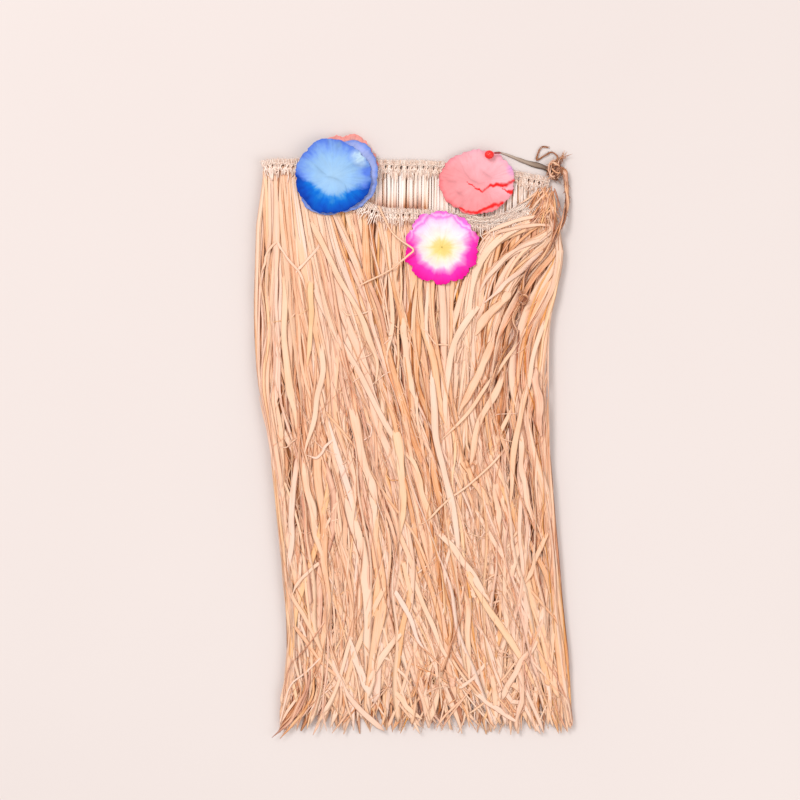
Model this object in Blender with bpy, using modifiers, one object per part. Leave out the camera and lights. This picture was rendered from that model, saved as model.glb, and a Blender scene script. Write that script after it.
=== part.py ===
"""A child's raffia grass skirt with fabric flowers, laid flat with its front panel on its back panel.

X runs to the right across the skirt, Y towards the waist and Z up from the surface it lies on.
The origin is on that surface, under the middle of the skirt. Sizes in the tables are millimetres.
"""

import math
from collections import namedtuple

import bmesh
import bpy
from mathutils import Vector

MM = 0.001
GAP = 0.3

# The two panels are mats of raffia, and three layers of loose strands lie in and on them.
# The layers lie on each other in this order, each a gap above the one below.
MAT = 2.4
STRAND = 1.2
BACK_LEVEL = 0.0
INNER_LEVEL = BACK_LEVEL + MAT + GAP
FRONT_LEVEL = INNER_LEVEL + STRAND + GAP
UNDER_LEVEL = FRONT_LEVEL + MAT + GAP
OVER_LEVEL = UNDER_LEVEL + STRAND + GAP
TOP = OVER_LEVEL + STRAND

# The stack's width at each height, and how lofty it lies there compared with the waist.
Row = namedtuple("Row", "y loft left right")
ROWS = (
    Row(y=150, loft=1.00, left=-137, right=118),
    Row(y=50, loft=1.06, left=-135, right=110),
    Row(y=-50, loft=1.02, left=-117, right=118),
    Row(y=-150, loft=0.90, left=-109, right=127),
    Row(y=-200, loft=0.80, left=-107, right=127),
)
HEM = Row(y=-253, loft=0.62, left=-122, right=135)
HEM_RAGGED = 7
MAT_HEM = Row(y=-232, loft=0.70, left=-114, right=131)

# The middle of the twined band, from the fold at the left to the tied corner at the right.
FRONT_WAIST = (
    (-132, 235),
    (-121, 237),
    (-99, 235),
    (-78, 226),
    (-56, 210),
    (-37, 198),
    (-26, 195),
    (-4, 194),
    (22, 192),
    (43, 189),
    (58, 187),
    (73, 189),
    (90, 197),
    (105, 207),
    (116, 216),
)
BACK_WAIST = (
    (-132, 235),
    (-99, 238),
    (-60, 239),
    (-34, 237),
    (13, 236),
    (39, 233),
    (73, 229),
    (99, 225),
    (117, 221),
)
DEEPEST_SHARE = 0.76
BAND_TALL = 9.0
BAND_THICK = 3.6
BACK_BAND_Z = 2.1
FRONT_BAND_Z = 7.6
HITCH_PITCH = 6.0
HITCH_PINCH = 0.8
STRIP = 3.0

# Where a strand that starts at a share of the band crosses each row and the hem.
Sweep = namedtuple("Sweep", "share at_rows")
STRAIGHT = (
    Sweep(0.00, (-136, -134, -116, -108, -106, -121)),
    Sweep(0.50, (-6, -8, 6, 14, 14, 10)),
    Sweep(1.00, (117, 109, 117, 126, 126, 134)),
)
SWEPT = (
    Sweep(0.00, (-137, -134, -116, -108, -106, -121)),
    Sweep(0.10, (-105, -99, -91, -84, -85, -99)),
    Sweep(0.20, (-69, -49, -32, -20, -20, -26)),
    Sweep(0.30, (-42, -15, 6, 18, 22, 22)),
    Sweep(0.43, (-17, 9, 26, 37, 44, 49)),
    Sweep(0.59, (16, 27, 40, 54, 64, 75)),
    Sweep(0.75, (46, 41, 51, 71, 82, 95)),
    Sweep(0.87, (76, 59, 65, 85, 97, 109)),
    Sweep(0.95, (99, 80, 80, 99, 111, 121)),
    Sweep(1.00, (117, 106, 112, 125, 126, 134)),
)
WIDEST_STRAND = 5.5
STRAND_FILLS = 0.8
STRAND_CROWN = 0.65
STRAND_TIP = 0.3

MAT_RIDGES = 38
RIDGE_VALLEY = 0.5
EDGE_ROLL = 0.35

# Ruffled rounds of thin fabric. lean is how much the round sinks for each millimetre towards the waist
# past lean_from, and lower squashes the half nearer the hem, as on a round that is folded in two.
Flower = namedtuple("Flower", "name x y z wide tall petals lift lean lean_from lower colour")
PETAL = 1.0
PETAL_STEPS = 3
PETAL_RINGS = (0.35, 0.7, 1.0)
SCALLOP = 0.05
FLOWERS = (
    Flower("blue_flower_back", -68, 225, TOP + GAP, 34.5, 32.0, 9, 1.5, 0.16, 236, 1.0, (0.25, 0.4, 0.85)),
    Flower("blue_flower", -69, 226, TOP + 3 * GAP + PETAL, 33.5, 31.5, 9, 1.5, 0.16, 236, 1.0, (0.02, 0.3, 0.8)),
    Flower("coral_flower", 54, 222, 7.0, 33.0, 28.0, 11, 1.6, 0.07, 194, 1.0, (1.0, 0.35, 0.35)),
    Flower("coral_flower_folded", -58, 231, 4.2, 30.0, 29.5, 8, 0.3, 0.0, 0, 0.12, (1.0, 0.3, 0.25)),
    Flower("pink_flower", 23, 165, TOP + GAP, 33.0, 31.5, 10, 2.2, 0.0, 0, 1.0, (1.0, 0.05, 0.45)),
)
BEAD_RADIUS = 4.0
BEAD_X = 64
BEAD_Y = 245
STEM_LONG = 6.0
STEM_RADIUS = 0.8

KNOT_CENTRE = (121.0, 232.0, 5.4)
KNOT_HALF = (5.8, 8.4, 5.2)
KNOT_LUMPS = 0.09

RING_CENTRE = (92.5, 120.5, 12.6)
RING_MAJOR = 3.6
RING_MINOR = 2.1

# The ties and the loose strand: the radius and the points of each one's route.
Cord = namedtuple("Cord", "name radius route colour")
TIE_COLOUR = (0.4, 0.24, 0.14)
RAFFIA_COLOUR = (0.85, 0.62, 0.38)
CORDS = (
    Cord(
        "tie_long",
        2.2,
        (
            (129.1, 231.5, 5.4),
            (130.8, 222.0, 4.8),
            (131.4, 210.0, 4.8),
            (130.8, 199.0, 6.6),
            (127.5, 188.5, 10.2),
            (122.0, 178.0, 12.6),
            (116.5, 167.5, 12.9),
            (109.5, 157.5, 12.9),
            (101.5, 149.5, 12.9),
            (95.0, 140.0, 12.9),
            (90.8, 126.9, 12.9),
        ),
        TIE_COLOUR,
    ),
    Cord(
        "tie_tail",
        1.5,
        (
            (89.4, 114.9, 12.2),
            (85.5, 107.5, 12.2),
            (84.5, 99.5, 12.2),
            (87.0, 91.5, 12.2),
            (83.0, 82.0, 12.3),
            (76.0, 73.0, 12.4),
            (71.0, 62.5, 12.4),
            (67.0, 51.5, 12.4),
            (62.5, 40.5, 12.4),
        ),
        TIE_COLOUR,
    ),
    Cord(
        "tie_loop",
        0.9,
        (
            (123.4, 240.7, 4.2),
            (123.2, 244.8, 2.2),
            (118.4, 248.2, 1.2),
            (112.0, 245.0, 1.1),
            (105.6, 241.4, 1.1),
            (106.4, 246.8, 1.1),
            (110.0, 252.6, 1.1),
            (116.0, 252.4, 1.1),
        ),
        TIE_COLOUR,
    ),
    Cord(
        "loose_strand",
        0.65,
        (
            (-31.5, 201.0, 11.0),
            (-26.0, 189.5, 11.0),
            (-20.5, 179.0, 11.4),
            (-13.0, 171.5, 13.2),
            (-6.0, 166.5, 14.4),
            (-1.2, 162.3, 14.7),
            (-6.2, 157.6, 14.4),
            (-13.0, 152.0, 13.2),
            (-20.5, 146.0, 11.6),
            (-31.0, 140.3, 11.2),
            (-41.5, 135.4, 11.2),
            (-49.0, 131.0, 11.2),
        ),
        RAFFIA_COLOUR,
    ),
)
CORD_STEP = 2.6
FLAT_TIE_ROUTE = (
    (115.6, 233.4, 2.8),
    (109.0, 236.0, 1.2),
    (100.0, 238.4, 0.9),
    (90.0, 242.0, 0.9),
    (80.0, 246.0, 0.9),
    (72.0, 248.6, 0.9),
)
FLAT_TIE_WIDE = 6.0
FLAT_TIE_TIP = 1.6
FLAT_TIE_THICK = 1.0


def clear_scene():
    for obj in list(bpy.data.objects):
        bpy.data.objects.remove(obj, do_unlink=True)


def vary(*numbers):
    """A repeatable number from 0 to 1 for these whole numbers."""
    total = sum(n * f for n, f in zip(numbers, (12.9898, 78.233, 37.719)))
    return (math.sin(total) * 43758.5453) % 1.0


def loft(y):
    """How lofty the stack lies at this height of the skirt."""
    rows = (*ROWS, HEM)
    if y >= rows[0].y:
        return rows[0].loft
    for upper, lower in zip(rows, rows[1:]):
        if y >= lower.y:
            share = (upper.y - y) / (upper.y - lower.y)
            return upper.loft + (lower.loft - upper.loft) * share
    return HEM.loft


def place(x, y, level):
    """The point at x and y on a level of the stack, in metres."""
    return Vector((x, y, level * loft(y))) * MM


def smooth(points, steps=8):
    """Points on a smooth curve through the given ones."""
    knots = [Vector(p) for p in points]
    ends = [knots[0] * 2 - knots[1], *knots, knots[-1] * 2 - knots[-2]]
    found = []
    for a, b, c, d in zip(ends, ends[1:], ends[2:], ends[3:]):
        for i in range(steps):
            t = i / steps
            bend = (2 * a - 5 * b + 4 * c - d) * t * t + (3 * b - a - 3 * c + d) * t**3
            found.append(b + ((c - a) * t + bend) / 2)
    return [*found, knots[-1]]


class Line:
    """A smooth line through the points, read by the share of its length."""

    def __init__(self, points):
        self.points = smooth(points)
        self.lengths = [0.0]
        for a, b in zip(self.points, self.points[1:]):
            self.lengths.append(self.lengths[-1] + (b - a).length)

    @property
    def length(self):
        return self.lengths[-1]

    def at(self, share):
        """The point at this share of the length, and the direction there."""
        far = min(max(share, 0.0), 1.0) * self.length
        i = 1
        while i < len(self.lengths) - 1 and self.lengths[i] < far:
            i += 1
        a, b = self.points[i - 1], self.points[i]
        part = (far - self.lengths[i - 1]) / (self.lengths[i] - self.lengths[i - 1])
        return a + (b - a) * part, (b - a).normalized()

    def below(self, share, distance):
        """The point at this share, moved towards the hem square to the line."""
        point, direction = self.at(share)
        return point + Vector((direction.y, -direction.x)) * distance


FRONT_LINE = Line(FRONT_WAIST)
BACK_LINE = Line(BACK_WAIST)


def finished(obj, colour, roughness=0.85, metallic=0.0):
    """Gives the piece its own material and puts it in the skirt's collection."""
    material = bpy.data.materials.new(obj.name)
    material.use_nodes = True
    shader = material.node_tree.nodes["Principled BSDF"]
    shader.inputs["Base Color"].default_value = (*colour, 1.0)
    shader.inputs["Roughness"].default_value = roughness
    shader.inputs["Metallic"].default_value = metallic
    obj.data.materials.clear()
    obj.data.materials.append(material)
    for old in list(obj.users_collection):
        old.objects.unlink(obj)
    SKIRT.objects.link(obj)
    return obj


def object_from(bm, name):
    """Closes a bmesh into an object whose faces point outwards."""
    bmesh.ops.recalc_face_normals(bm, faces=bm.faces)
    mesh = bpy.data.meshes.new(name)
    bm.to_mesh(mesh)
    bm.free()
    return bpy.data.objects.new(name, mesh)


def ridge(column, row, columns):
    """How much of the mat's thickness stands at this column and row."""
    if column in (0, columns):
        return EDGE_ROLL
    if column % 2 == 0:
        return RIDGE_VALLEY
    return 0.8 + 0.2 * vary(column, row)


def panel(name, line, level, colour):
    """A mat of raffia bundles under one half of the band, ridged above and plain below."""
    columns = 2 * MAT_RIDGES
    rows = (*ROWS, MAT_HEM)
    bm = bmesh.new()
    bmesh.ops.create_grid(bm, x_segments=columns, y_segments=len(rows), size=1)
    for v in bm.verts:
        column = round((v.co.x + 1) / 2 * columns)
        row = round((1 - v.co.y) / 2 * len(rows))
        share = column / columns
        if row == 0:
            x, y = line.below(share, BAND_TALL / 2 + GAP)
        else:
            x = rows[row - 1].left + (rows[row - 1].right - rows[row - 1].left) * share
            y = rows[row - 1].y
        if row == len(rows):
            y += HEM_RAGGED * (vary(column, 7) - 0.5)
        v.co = place(x, y, level + MAT * ridge(column, row, columns))
    lower = bmesh.ops.extrude_face_region(bm, geom=bm.faces[:])["geom"]
    for v in lower:
        if isinstance(v, bmesh.types.BMVert):
            v.co = place(v.co.x / MM, v.co.y / MM, level)
    return finished(object_from(bm, name), colour)


def crossing(table, share, row):
    """Where a strand from this share of the band crosses a row, or the hem after the last row."""
    for left, right in zip(table, table[1:]):
        if share <= right.share:
            part = (share - left.share) / (right.share - left.share)
            return left.at_rows[row] + (right.at_rows[row] - left.at_rows[row]) * part
    return table[-1].at_rows[row]


def fringe(name, line, table, shares, locks, level, colour):
    """Locks of raffia that hang side by side from a narrow strip along the band's lower edge."""
    first, last = shares
    margin = (1 - STRAND_FILLS) / 2
    columns = 2 * locks + 1

    def share_of(column):
        if column in (0, columns):
            return first if column == 0 else last
        lock, right_side = divmod(column - 1, 2)
        inset = 1 - margin if right_side else margin
        return first + (last - first) * (lock + inset) / locks

    bm = bmesh.new()
    bmesh.ops.create_grid(bm, x_segments=columns, y_segments=1, size=1)
    column_of = bm.verts.layers.int.new("column")
    low_of = bm.verts.layers.int.new("low")
    top_of = bm.verts.layers.int.new("top")
    for v in bm.verts:
        v[column_of] = round((v.co.x + 1) / 2 * columns)
        v[low_of] = 1 if v.co.y < 0 else 0
        x, y = line.below(share_of(v[column_of]), BAND_TALL / 2 + GAP + STRIP * v[low_of])
        v.co = place(x, y, level)
    for v in bmesh.ops.extrude_face_region(bm, geom=bm.faces[:])["geom"]:
        if isinstance(v, bmesh.types.BMVert):
            v[top_of] = 1
            v.co = place(v.co.x / MM, v.co.y / MM, level + STRAND)
    bmesh.ops.recalc_face_normals(bm, faces=bm.faces)

    def is_root(face):
        columns_met = {v[column_of] for v in face.verts}
        return (
            all(v[low_of] for v in face.verts)
            and len({v[top_of] for v in face.verts}) == 2
            and len(columns_met) == 2
            and min(columns_met) % 2 == 1
        )

    ends = [f for f in bm.faces if is_root(f)]
    for row in range(len(ROWS) + 1):
        ends = bmesh.ops.extrude_discrete_faces(bm, faces=ends)["faces"]
        for face in ends:
            left_column = min(v[column_of] for v in face.verts)
            x_left = crossing(table, share_of(left_column), row)
            x_right = crossing(table, share_of(left_column + 1), row)
            middle = (x_left + x_right) / 2
            half = min(x_right - x_left, WIDEST_STRAND) / 2
            at_tip = row == len(ROWS)
            y = HEM.y - HEM_RAGGED * (vary(left_column, locks) - 0.2) if at_tip else ROWS[row].y
            for v in face.verts:
                side = 1 if v[column_of] > left_column else -1
                width = STRAND_CROWN if v[top_of] else 1.0
                height = STRAND * v[top_of]
                if at_tip:
                    width = STRAND_TIP
                    height = STRAND * (0.65 if v[top_of] else 0.35)
                v.co = place(middle + side * half * width, y, level + height)
    return finished(object_from(bm, name), colour)


def swept(name, frames, corners, colour, roughness=0.85):
    """A closed loft through frames: centre, across and up directions, half width and half height."""
    bm = bmesh.new()
    rings = []
    for centre, across, up, half_wide, half_high in frames:
        ring = []
        for i in range(corners):
            turn = 2 * math.pi * (i + 0.5) / corners
            offset = across * half_wide * math.cos(turn) + up * half_high * math.sin(turn)
            ring.append(bm.verts.new((centre + offset) * MM))
        rings.append(ring)
    for before, after in zip(rings, rings[1:]):
        for i in range(corners):
            j = (i + 1) % corners
            bm.faces.new((before[i], before[j], after[j], after[i]))
    bm.faces.new(rings[0])
    bm.faces.new(rings[-1])
    return finished(object_from(bm, name), colour, roughness)


def waistband():
    """One twined strip: along the back from the tied corner, round the fold, and along the front."""
    up = Vector((0, 0, 1))
    radius = (FRONT_BAND_Z - BACK_BAND_Z) / 2
    middle_z = (FRONT_BAND_Z + BACK_BAND_Z) / 2
    corner_stretch = 1 / math.cos(math.pi / 6)
    frames = []

    def add(centre, across, inward, step):
        size = HITCH_PINCH if step % 2 == 0 else 1.0
        half_wide = BAND_TALL / 2 * corner_stretch * (0.5 + size / 2)
        frames.append((centre, across, inward, half_wide, BAND_THICK / 2 * size))

    def run(line, z, inward, forwards):
        steps = 2 * round(line.length / HITCH_PITCH)
        for step in range(steps + 1):
            share = step / steps if forwards else 1 - step / steps
            point, direction = line.at(share)
            across = Vector((-direction.y, direction.x, 0))
            add(Vector((point.x, point.y, z)), across, inward, step)

    run(BACK_LINE, BACK_BAND_Z, up, False)
    start_x, start_y = FRONT_WAIST[0]
    for step in range(1, 4):
        turn = math.pi * step / 4
        centre = Vector((start_x - radius * math.sin(turn), start_y, middle_z - radius * math.cos(turn)))
        add(centre, Vector((0, 1, 0)), Vector((math.sin(turn), 0, math.cos(turn))), 1)
    run(FRONT_LINE, FRONT_BAND_Z, -up, True)
    return swept("waistband", frames, 6, (0.9, 0.75, 0.6))


def petal_height(spec, x, y):
    """The underside of a flower at x and y, in millimetres."""
    right, ahead = (x - spec.x) / spec.wide, (y - spec.y) / spec.tall
    turn, out = math.atan2(ahead, right), math.hypot(right, ahead)
    wave = 0.5 + 0.5 * math.cos(spec.petals * turn)
    return spec.z + spec.lift * wave * out**2 - spec.lean * max(0.0, y - spec.lean_from)


def flower(spec):
    """A round of thin fabric with a scalloped and ruffled rim."""
    bm = bmesh.new()
    segments = PETAL_STEPS * spec.petals
    bmesh.ops.create_circle(bm, cap_ends=True, cap_tris=True, segments=segments, radius=PETAL_RINGS[0])
    rim = [e for e in bm.edges if e.is_boundary]
    for before, after in zip(PETAL_RINGS, PETAL_RINGS[1:]):
        added = bmesh.ops.extrude_edge_only(bm, edges=rim)["geom"]
        for v in added:
            if isinstance(v, bmesh.types.BMVert):
                v.co *= after / before
        rim = [e for e in added if isinstance(e, bmesh.types.BMEdge) and e.is_boundary]
    for v in bm.verts:
        turn, out = math.atan2(v.co.y, v.co.x), v.co.length
        reach = 1 - SCALLOP * (1 - math.cos(spec.petals * turn)) / 2 * out
        x = spec.x + v.co.x * spec.wide * reach
        ahead = v.co.y * spec.tall * reach
        y = spec.y + (ahead if ahead > 0 else ahead * spec.lower)
        v.co = Vector((x, y, petal_height(spec, x, y))) * MM
    bmesh.ops.recalc_face_normals(bm, faces=bm.faces)
    if sum(f.normal.z for f in bm.faces) < 0:
        bmesh.ops.reverse_faces(bm, faces=bm.faces)
    mesh = bpy.data.meshes.new(spec.name)
    bm.to_mesh(mesh)
    bm.free()
    obj = finished(bpy.data.objects.new(spec.name, mesh), spec.colour, 0.7)
    wall = obj.modifiers.new("cloth", "SOLIDIFY")
    wall.thickness = PETAL * MM
    wall.offset = 1.0
    return obj


def bead_and_stem():
    """The coral flower's round bead, and the short stalk beside it."""
    coral = next(f for f in FLOWERS if f.name == "coral_flower")
    around = [(BEAD_X + dx, BEAD_Y + dy) for dx in (-2, 0, 2) for dy in (-2, 0, 2)]
    z = max(petal_height(coral, x, y) for x, y in around) + PETAL + GAP + BEAD_RADIUS
    bm = bmesh.new()
    bmesh.ops.create_icosphere(bm, subdivisions=2, radius=BEAD_RADIUS * MM)
    bead = finished(object_from(bm, "coral_bead"), (0.85, 0.04, 0.03), 0.35)
    bead.location = Vector((BEAD_X, BEAD_Y, z)) * MM
    bead.data.shade_smooth()
    bm = bmesh.new()
    bmesh.ops.create_cone(
        bm,
        cap_ends=True,
        segments=8,
        radius1=STEM_RADIUS * MM,
        radius2=STEM_RADIUS * 0.7 * MM,
        depth=STEM_LONG * MM,
    )
    stem = finished(object_from(bm, "coral_stem"), (0.5, 0.03, 0.03), 0.6)
    stem.location = Vector((BEAD_X + BEAD_RADIUS + GAP + STEM_LONG / 2, BEAD_Y + 1.5, z)) * MM
    stem.rotation_euler = (0, math.pi / 2, 0)


def knot():
    """The lump where the band's two ends and the ties are knotted together."""
    bm = bmesh.new()
    bmesh.ops.create_icosphere(bm, subdivisions=3, radius=1)
    for v in bm.verts:
        lump = 1 + KNOT_LUMPS * math.sin(5 * v.co.x + 2) * math.sin(4 * v.co.y) * math.cos(3 * v.co.z)
        sized = Vector(v.co[i] * KNOT_HALF[i] * lump for i in range(3))
        v.co = (Vector(KNOT_CENTRE) + sized) * MM
    return finished(object_from(bm, "corner_knot"), TIE_COLOUR)


def ring_knot():
    """The ring-shaped knot near the end of the long tie."""
    bpy.ops.mesh.primitive_torus_add(
        major_segments=16,
        minor_segments=8,
        major_radius=RING_MAJOR * MM,
        minor_radius=RING_MINOR * MM,
        location=Vector(RING_CENTRE) * MM,
    )
    ring = bpy.context.object
    ring.name = "tie_ring"
    return finished(ring, TIE_COLOUR)


def cord(spec):
    """A round cord or strand along its smooth route."""
    path = Line(spec.route)
    count = max(8, round(path.length / (2 * spec.radius * CORD_STEP)))
    curve = bpy.data.curves.new(spec.name, "CURVE")
    curve.dimensions = "3D"
    curve.bevel_depth = spec.radius * MM
    curve.bevel_resolution = 2
    curve.use_fill_caps = True
    spline = curve.splines.new("POLY")
    spline.points.add(count)
    for i in range(count + 1):
        spline.points[i].co = (*(path.at(i / count)[0] * MM), 1.0)
    return finished(bpy.data.objects.new(spec.name, curve), spec.colour)


def flat_tie():
    """The flat end of the tie: a ribbon that narrows towards its tip."""
    path = Line(FLAT_TIE_ROUTE)
    steps = 12
    frames = []
    for i in range(steps + 1):
        share = i / steps
        point, direction = path.at(share)
        across = Vector((-direction.y, direction.x, 0)).normalized()
        wide = FLAT_TIE_WIDE + (FLAT_TIE_TIP - FLAT_TIE_WIDE) * share
        up = direction.cross(across)
        frames.append((point, across, up, wide / 2, FLAT_TIE_THICK / 2))
    return swept("tie_flat", frames, 6, (0.45, 0.36, 0.24))


clear_scene()
SKIRT = bpy.data.collections.new("raffia_grass_skirt")
bpy.context.scene.collection.children.link(SKIRT)

panel("back_panel", BACK_LINE, BACK_LEVEL, (0.75, 0.52, 0.3))
panel("front_panel", FRONT_LINE, FRONT_LEVEL, (0.8, 0.57, 0.33))
waistband()
LEFT = (0.004, DEEPEST_SHARE - 0.002)
RIGHT = (DEEPEST_SHARE + 0.002, 0.996)
fringe("inner_fringe", BACK_LINE, STRAIGHT, (0.03, 0.97), 34, INNER_LEVEL, (0.88, 0.68, 0.46))
fringe("under_fringe_left", FRONT_LINE, STRAIGHT, LEFT, 32, UNDER_LEVEL, RAFFIA_COLOUR)
fringe("under_fringe_right", FRONT_LINE, STRAIGHT, RIGHT, 10, UNDER_LEVEL, RAFFIA_COLOUR)
fringe("over_fringe_left", FRONT_LINE, SWEPT, LEFT, 38, OVER_LEVEL, (0.9, 0.7, 0.46))
fringe("over_fringe_right", FRONT_LINE, SWEPT, RIGHT, 14, OVER_LEVEL, (0.9, 0.7, 0.46))
for each in FLOWERS:
    flower(each)
bead_and_stem()
knot()
ring_knot()
for each in CORDS:
    cord(each)
flat_tie()
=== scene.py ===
"""A child's raffia grass skirt with fabric flowers, laid flat and seen from straight above."""
import math
import random
from collections import namedtuple

import bmesh
import bpy
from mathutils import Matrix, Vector, noise


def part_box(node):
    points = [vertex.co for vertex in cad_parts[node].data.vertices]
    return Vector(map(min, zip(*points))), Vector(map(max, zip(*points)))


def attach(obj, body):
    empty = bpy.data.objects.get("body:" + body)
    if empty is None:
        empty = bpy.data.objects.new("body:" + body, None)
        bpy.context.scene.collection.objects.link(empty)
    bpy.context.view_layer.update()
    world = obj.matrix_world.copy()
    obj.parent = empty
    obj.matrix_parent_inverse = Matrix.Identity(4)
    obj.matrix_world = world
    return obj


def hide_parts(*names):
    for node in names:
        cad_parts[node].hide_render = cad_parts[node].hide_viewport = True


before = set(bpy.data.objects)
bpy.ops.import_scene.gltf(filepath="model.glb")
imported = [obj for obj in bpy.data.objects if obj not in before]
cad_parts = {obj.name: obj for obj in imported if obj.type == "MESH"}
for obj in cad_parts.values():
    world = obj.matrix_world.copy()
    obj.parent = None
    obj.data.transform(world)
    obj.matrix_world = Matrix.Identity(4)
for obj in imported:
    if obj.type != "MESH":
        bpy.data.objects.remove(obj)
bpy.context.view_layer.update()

# The set: a plain pale table under wide soft lights, seen from straight above as in the photo.
# The picture is 800 pixels wide at the skirt's own scale, and the camera stands over its middle.
MM = 0.001
PICTURE_PIXELS = 800
PIXEL_SIZE = 0.862
PICTURE_MIDDLE = (-12.9, 33.6)
STRANDS_HIGH = 9.0
LENS = 85.0
SENSOR = 36.0
TABLE_HALF = 3.0
TABLE_DROP = 0.4
TABLE_STOPS = ((0.3, 224, 214, 211), (0.7, 229, 220, 217))
STUDIO_COLOUR = (1.0, 0.955, 0.93, 1.0)
STUDIO_GLOW = 0.64


def srgb(red, green, blue):
    """A screen colour from 0 to 255, as a linear one."""

    def linear(value):
        value /= 255
        return value / 12.92 if value <= 0.04045 else ((value + 0.055) / 1.055) ** 2.4

    return (linear(red), linear(green), linear(blue), 1.0)


def node(tree, kind, inputs=(), **settings):
    """Adds a node with these properties, and fills its inputs with values or with links from sockets."""
    made = tree.nodes.new("ShaderNode" + kind)
    for name, value in settings.items():
        setattr(made, name, value)
    for name, value in dict(inputs).items():
        if isinstance(value, bpy.types.NodeSocket):
            tree.links.new(value, made.inputs[name])
        else:
            made.inputs[name].default_value = value
    return made


def ramp(tree, factor, stops):
    """A colour ramp whose stops are rows of place, red, green and blue."""
    made = node(tree, "ValToRGB", {0: factor})
    elements = made.color_ramp.elements
    while len(elements) < len(stops):
        elements.new(1.0)
    for element, (place, *screen_colour) in zip(elements, stops):
        element.position = place
        element.color = srgb(*screen_colour)
    return made.outputs["Color"]


def math_node(tree, operation, first, second=0.0, third=0.0):
    """One sum on numbers or sockets."""
    return node(tree, "Math", {0: first, 1: second, 2: third}, operation=operation).outputs[0]


def new_material(name, roughness, **constants):
    """A material with its Principled shader, whose other constant sockets are given by name."""
    material = bpy.data.materials.new(name)
    material.use_nodes = True
    shader = material.node_tree.nodes["Principled BSDF"]
    for socket, value in {"Roughness": roughness, **constants}.items():
        shader.inputs[socket.replace("_", " ")].default_value = value
    return material, material.node_tree, shader


def soft_light(name, *, place, size, power, colour):
    """A square area light aimed at the skirt."""
    light = bpy.data.lights.new(name, "AREA")
    light.size = size
    light.energy = power
    light.color = colour
    lamp = bpy.data.objects.new(name, light)
    lamp.location = place
    lamp.rotation_euler = (-Vector(place)).to_track_quat("-Z", "Y").to_euler()
    bpy.context.collection.objects.link(lamp)


camera = bpy.data.objects.new("camera", bpy.data.cameras.new("camera"))
camera.data.lens = LENS
camera.data.sensor_width = SENSOR
camera_high = PICTURE_PIXELS * PIXEL_SIZE * LENS / SENSOR + STRANDS_HIGH
camera.location = Vector((*PICTURE_MIDDLE, camera_high)) * MM
bpy.context.collection.objects.link(camera)
bpy.context.scene.camera = camera
bpy.context.scene.view_settings.view_transform = "Standard"

soft_light("window", place=(-1.4, 1.5, 2.9), size=1.25, power=64, colour=(1.0, 0.985, 0.975))
soft_light("fill", place=(1.5, -0.8, 2.0), size=1.7, power=17, colour=(1.0, 0.97, 0.96))
world = bpy.data.worlds.new("studio")
world.use_nodes = True
glow = world.node_tree.nodes["Background"].inputs
glow["Color"].default_value = STUDIO_COLOUR
glow["Strength"].default_value = STUDIO_GLOW
bpy.context.scene.world = world

bm = bmesh.new()
bmesh.ops.create_grid(bm, x_segments=1, y_segments=1, size=TABLE_HALF)
bmesh.ops.translate(bm, vec=(0, 0, -TABLE_DROP * MM), verts=bm.verts)
table_mesh = bpy.data.meshes.new("table")
bm.to_mesh(table_mesh)
bm.free()
table = bpy.data.objects.new("table", table_mesh)
bpy.context.collection.objects.link(table)
material, tree, shader = new_material("table_paint", 0.7)
mottle = node(tree, "TexNoise", {"Scale": 6.0, "Detail": 4.0})
tree.links.new(ramp(tree, mottle.outputs[0], TABLE_STOPS), shader.inputs["Base Color"])
table_mesh.materials.append(material)

# The ties: brown frayed raffia cord, each a few strands twisted together, knotted at the right corner.
# The long one ends in a ring knot with a frayed tail, a thin one makes a loop, and one end stays flat.
# A single kinked strand of raffia lies loose over the pink flower's edge.
Route = namedtuple("Route", "name wide plies far_end points")
TIE_LONG = Route(name="tie_long", wide=4.4, plies=9, far_end="knot", points=(
    (129.1, 231.5, 5.4), (130.8, 222.0, 4.8), (131.4, 210.0, 4.8), (130.8, 199.0, 6.6),
    (127.5, 188.5, 10.2), (122.0, 178.0, 12.6), (116.5, 167.5, 12.9), (109.5, 157.5, 12.9),
    (101.5, 149.5, 12.9), (95.0, 140.0, 12.9), (90.8, 126.9, 12.9),
))
TIE_TAIL = Route(name="tie_tail", wide=3.0, plies=6, far_end="bare", points=(
    (89.4, 114.9, 12.2), (85.5, 107.5, 12.2), (84.5, 99.5, 12.2), (87.0, 91.5, 12.2), (83.0, 82.0, 12.3),
    (76.0, 73.0, 12.4), (71.0, 62.5, 12.4), (67.0, 51.5, 12.4), (62.5, 40.5, 12.4),
))
TIE_LOOP = Route(name="tie_loop", wide=1.8, plies=4, far_end="bare", points=(
    (123.4, 240.7, 4.2), (123.2, 244.8, 2.2), (118.4, 248.2, 1.2), (112.0, 245.0, 1.1), (105.6, 241.4, 1.1),
    (106.4, 246.8, 1.1), (110.0, 252.6, 1.1), (116.0, 252.4, 1.1),
))
TIE_FLAT = Route(name="tie_flat", wide=5.0, plies=1, far_end="bare", points=(
    (115.6, 233.4, 2.8), (109.0, 236.0, 1.2), (100.0, 238.4, 0.9), (90.0, 242.0, 0.9), (80.0, 246.0, 0.9),
    (72.0, 248.6, 0.9),
))
LOOSE_STRAND = Route(name="loose_strand", wide=1.5, plies=1, far_end="bare", points=(
    (-31.5, 201.0, 11.0), (-26.0, 189.5, 11.0), (-20.5, 179.0, 11.4), (-13.0, 171.5, 13.2),
    (-6.0, 166.5, 14.4), (-1.2, 162.3, 14.7), (-6.2, 157.6, 14.4), (-13.0, 152.0, 13.2),
    (-20.5, 146.0, 11.6), (-31.0, 140.3, 11.2), (-41.5, 135.4, 11.2), (-49.0, 131.0, 11.2),
))
RING_CENTRE = Vector((92.5, 120.5, 12.6))
RING_RADIUS = 3.6
RING_THICK = 3.6
RING_PLIES = 8
RING_STEPS = 44
TIE_STEPS = 44
TWIST_LENGTH = 60
FLAT_WIDE = 3.0

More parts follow.
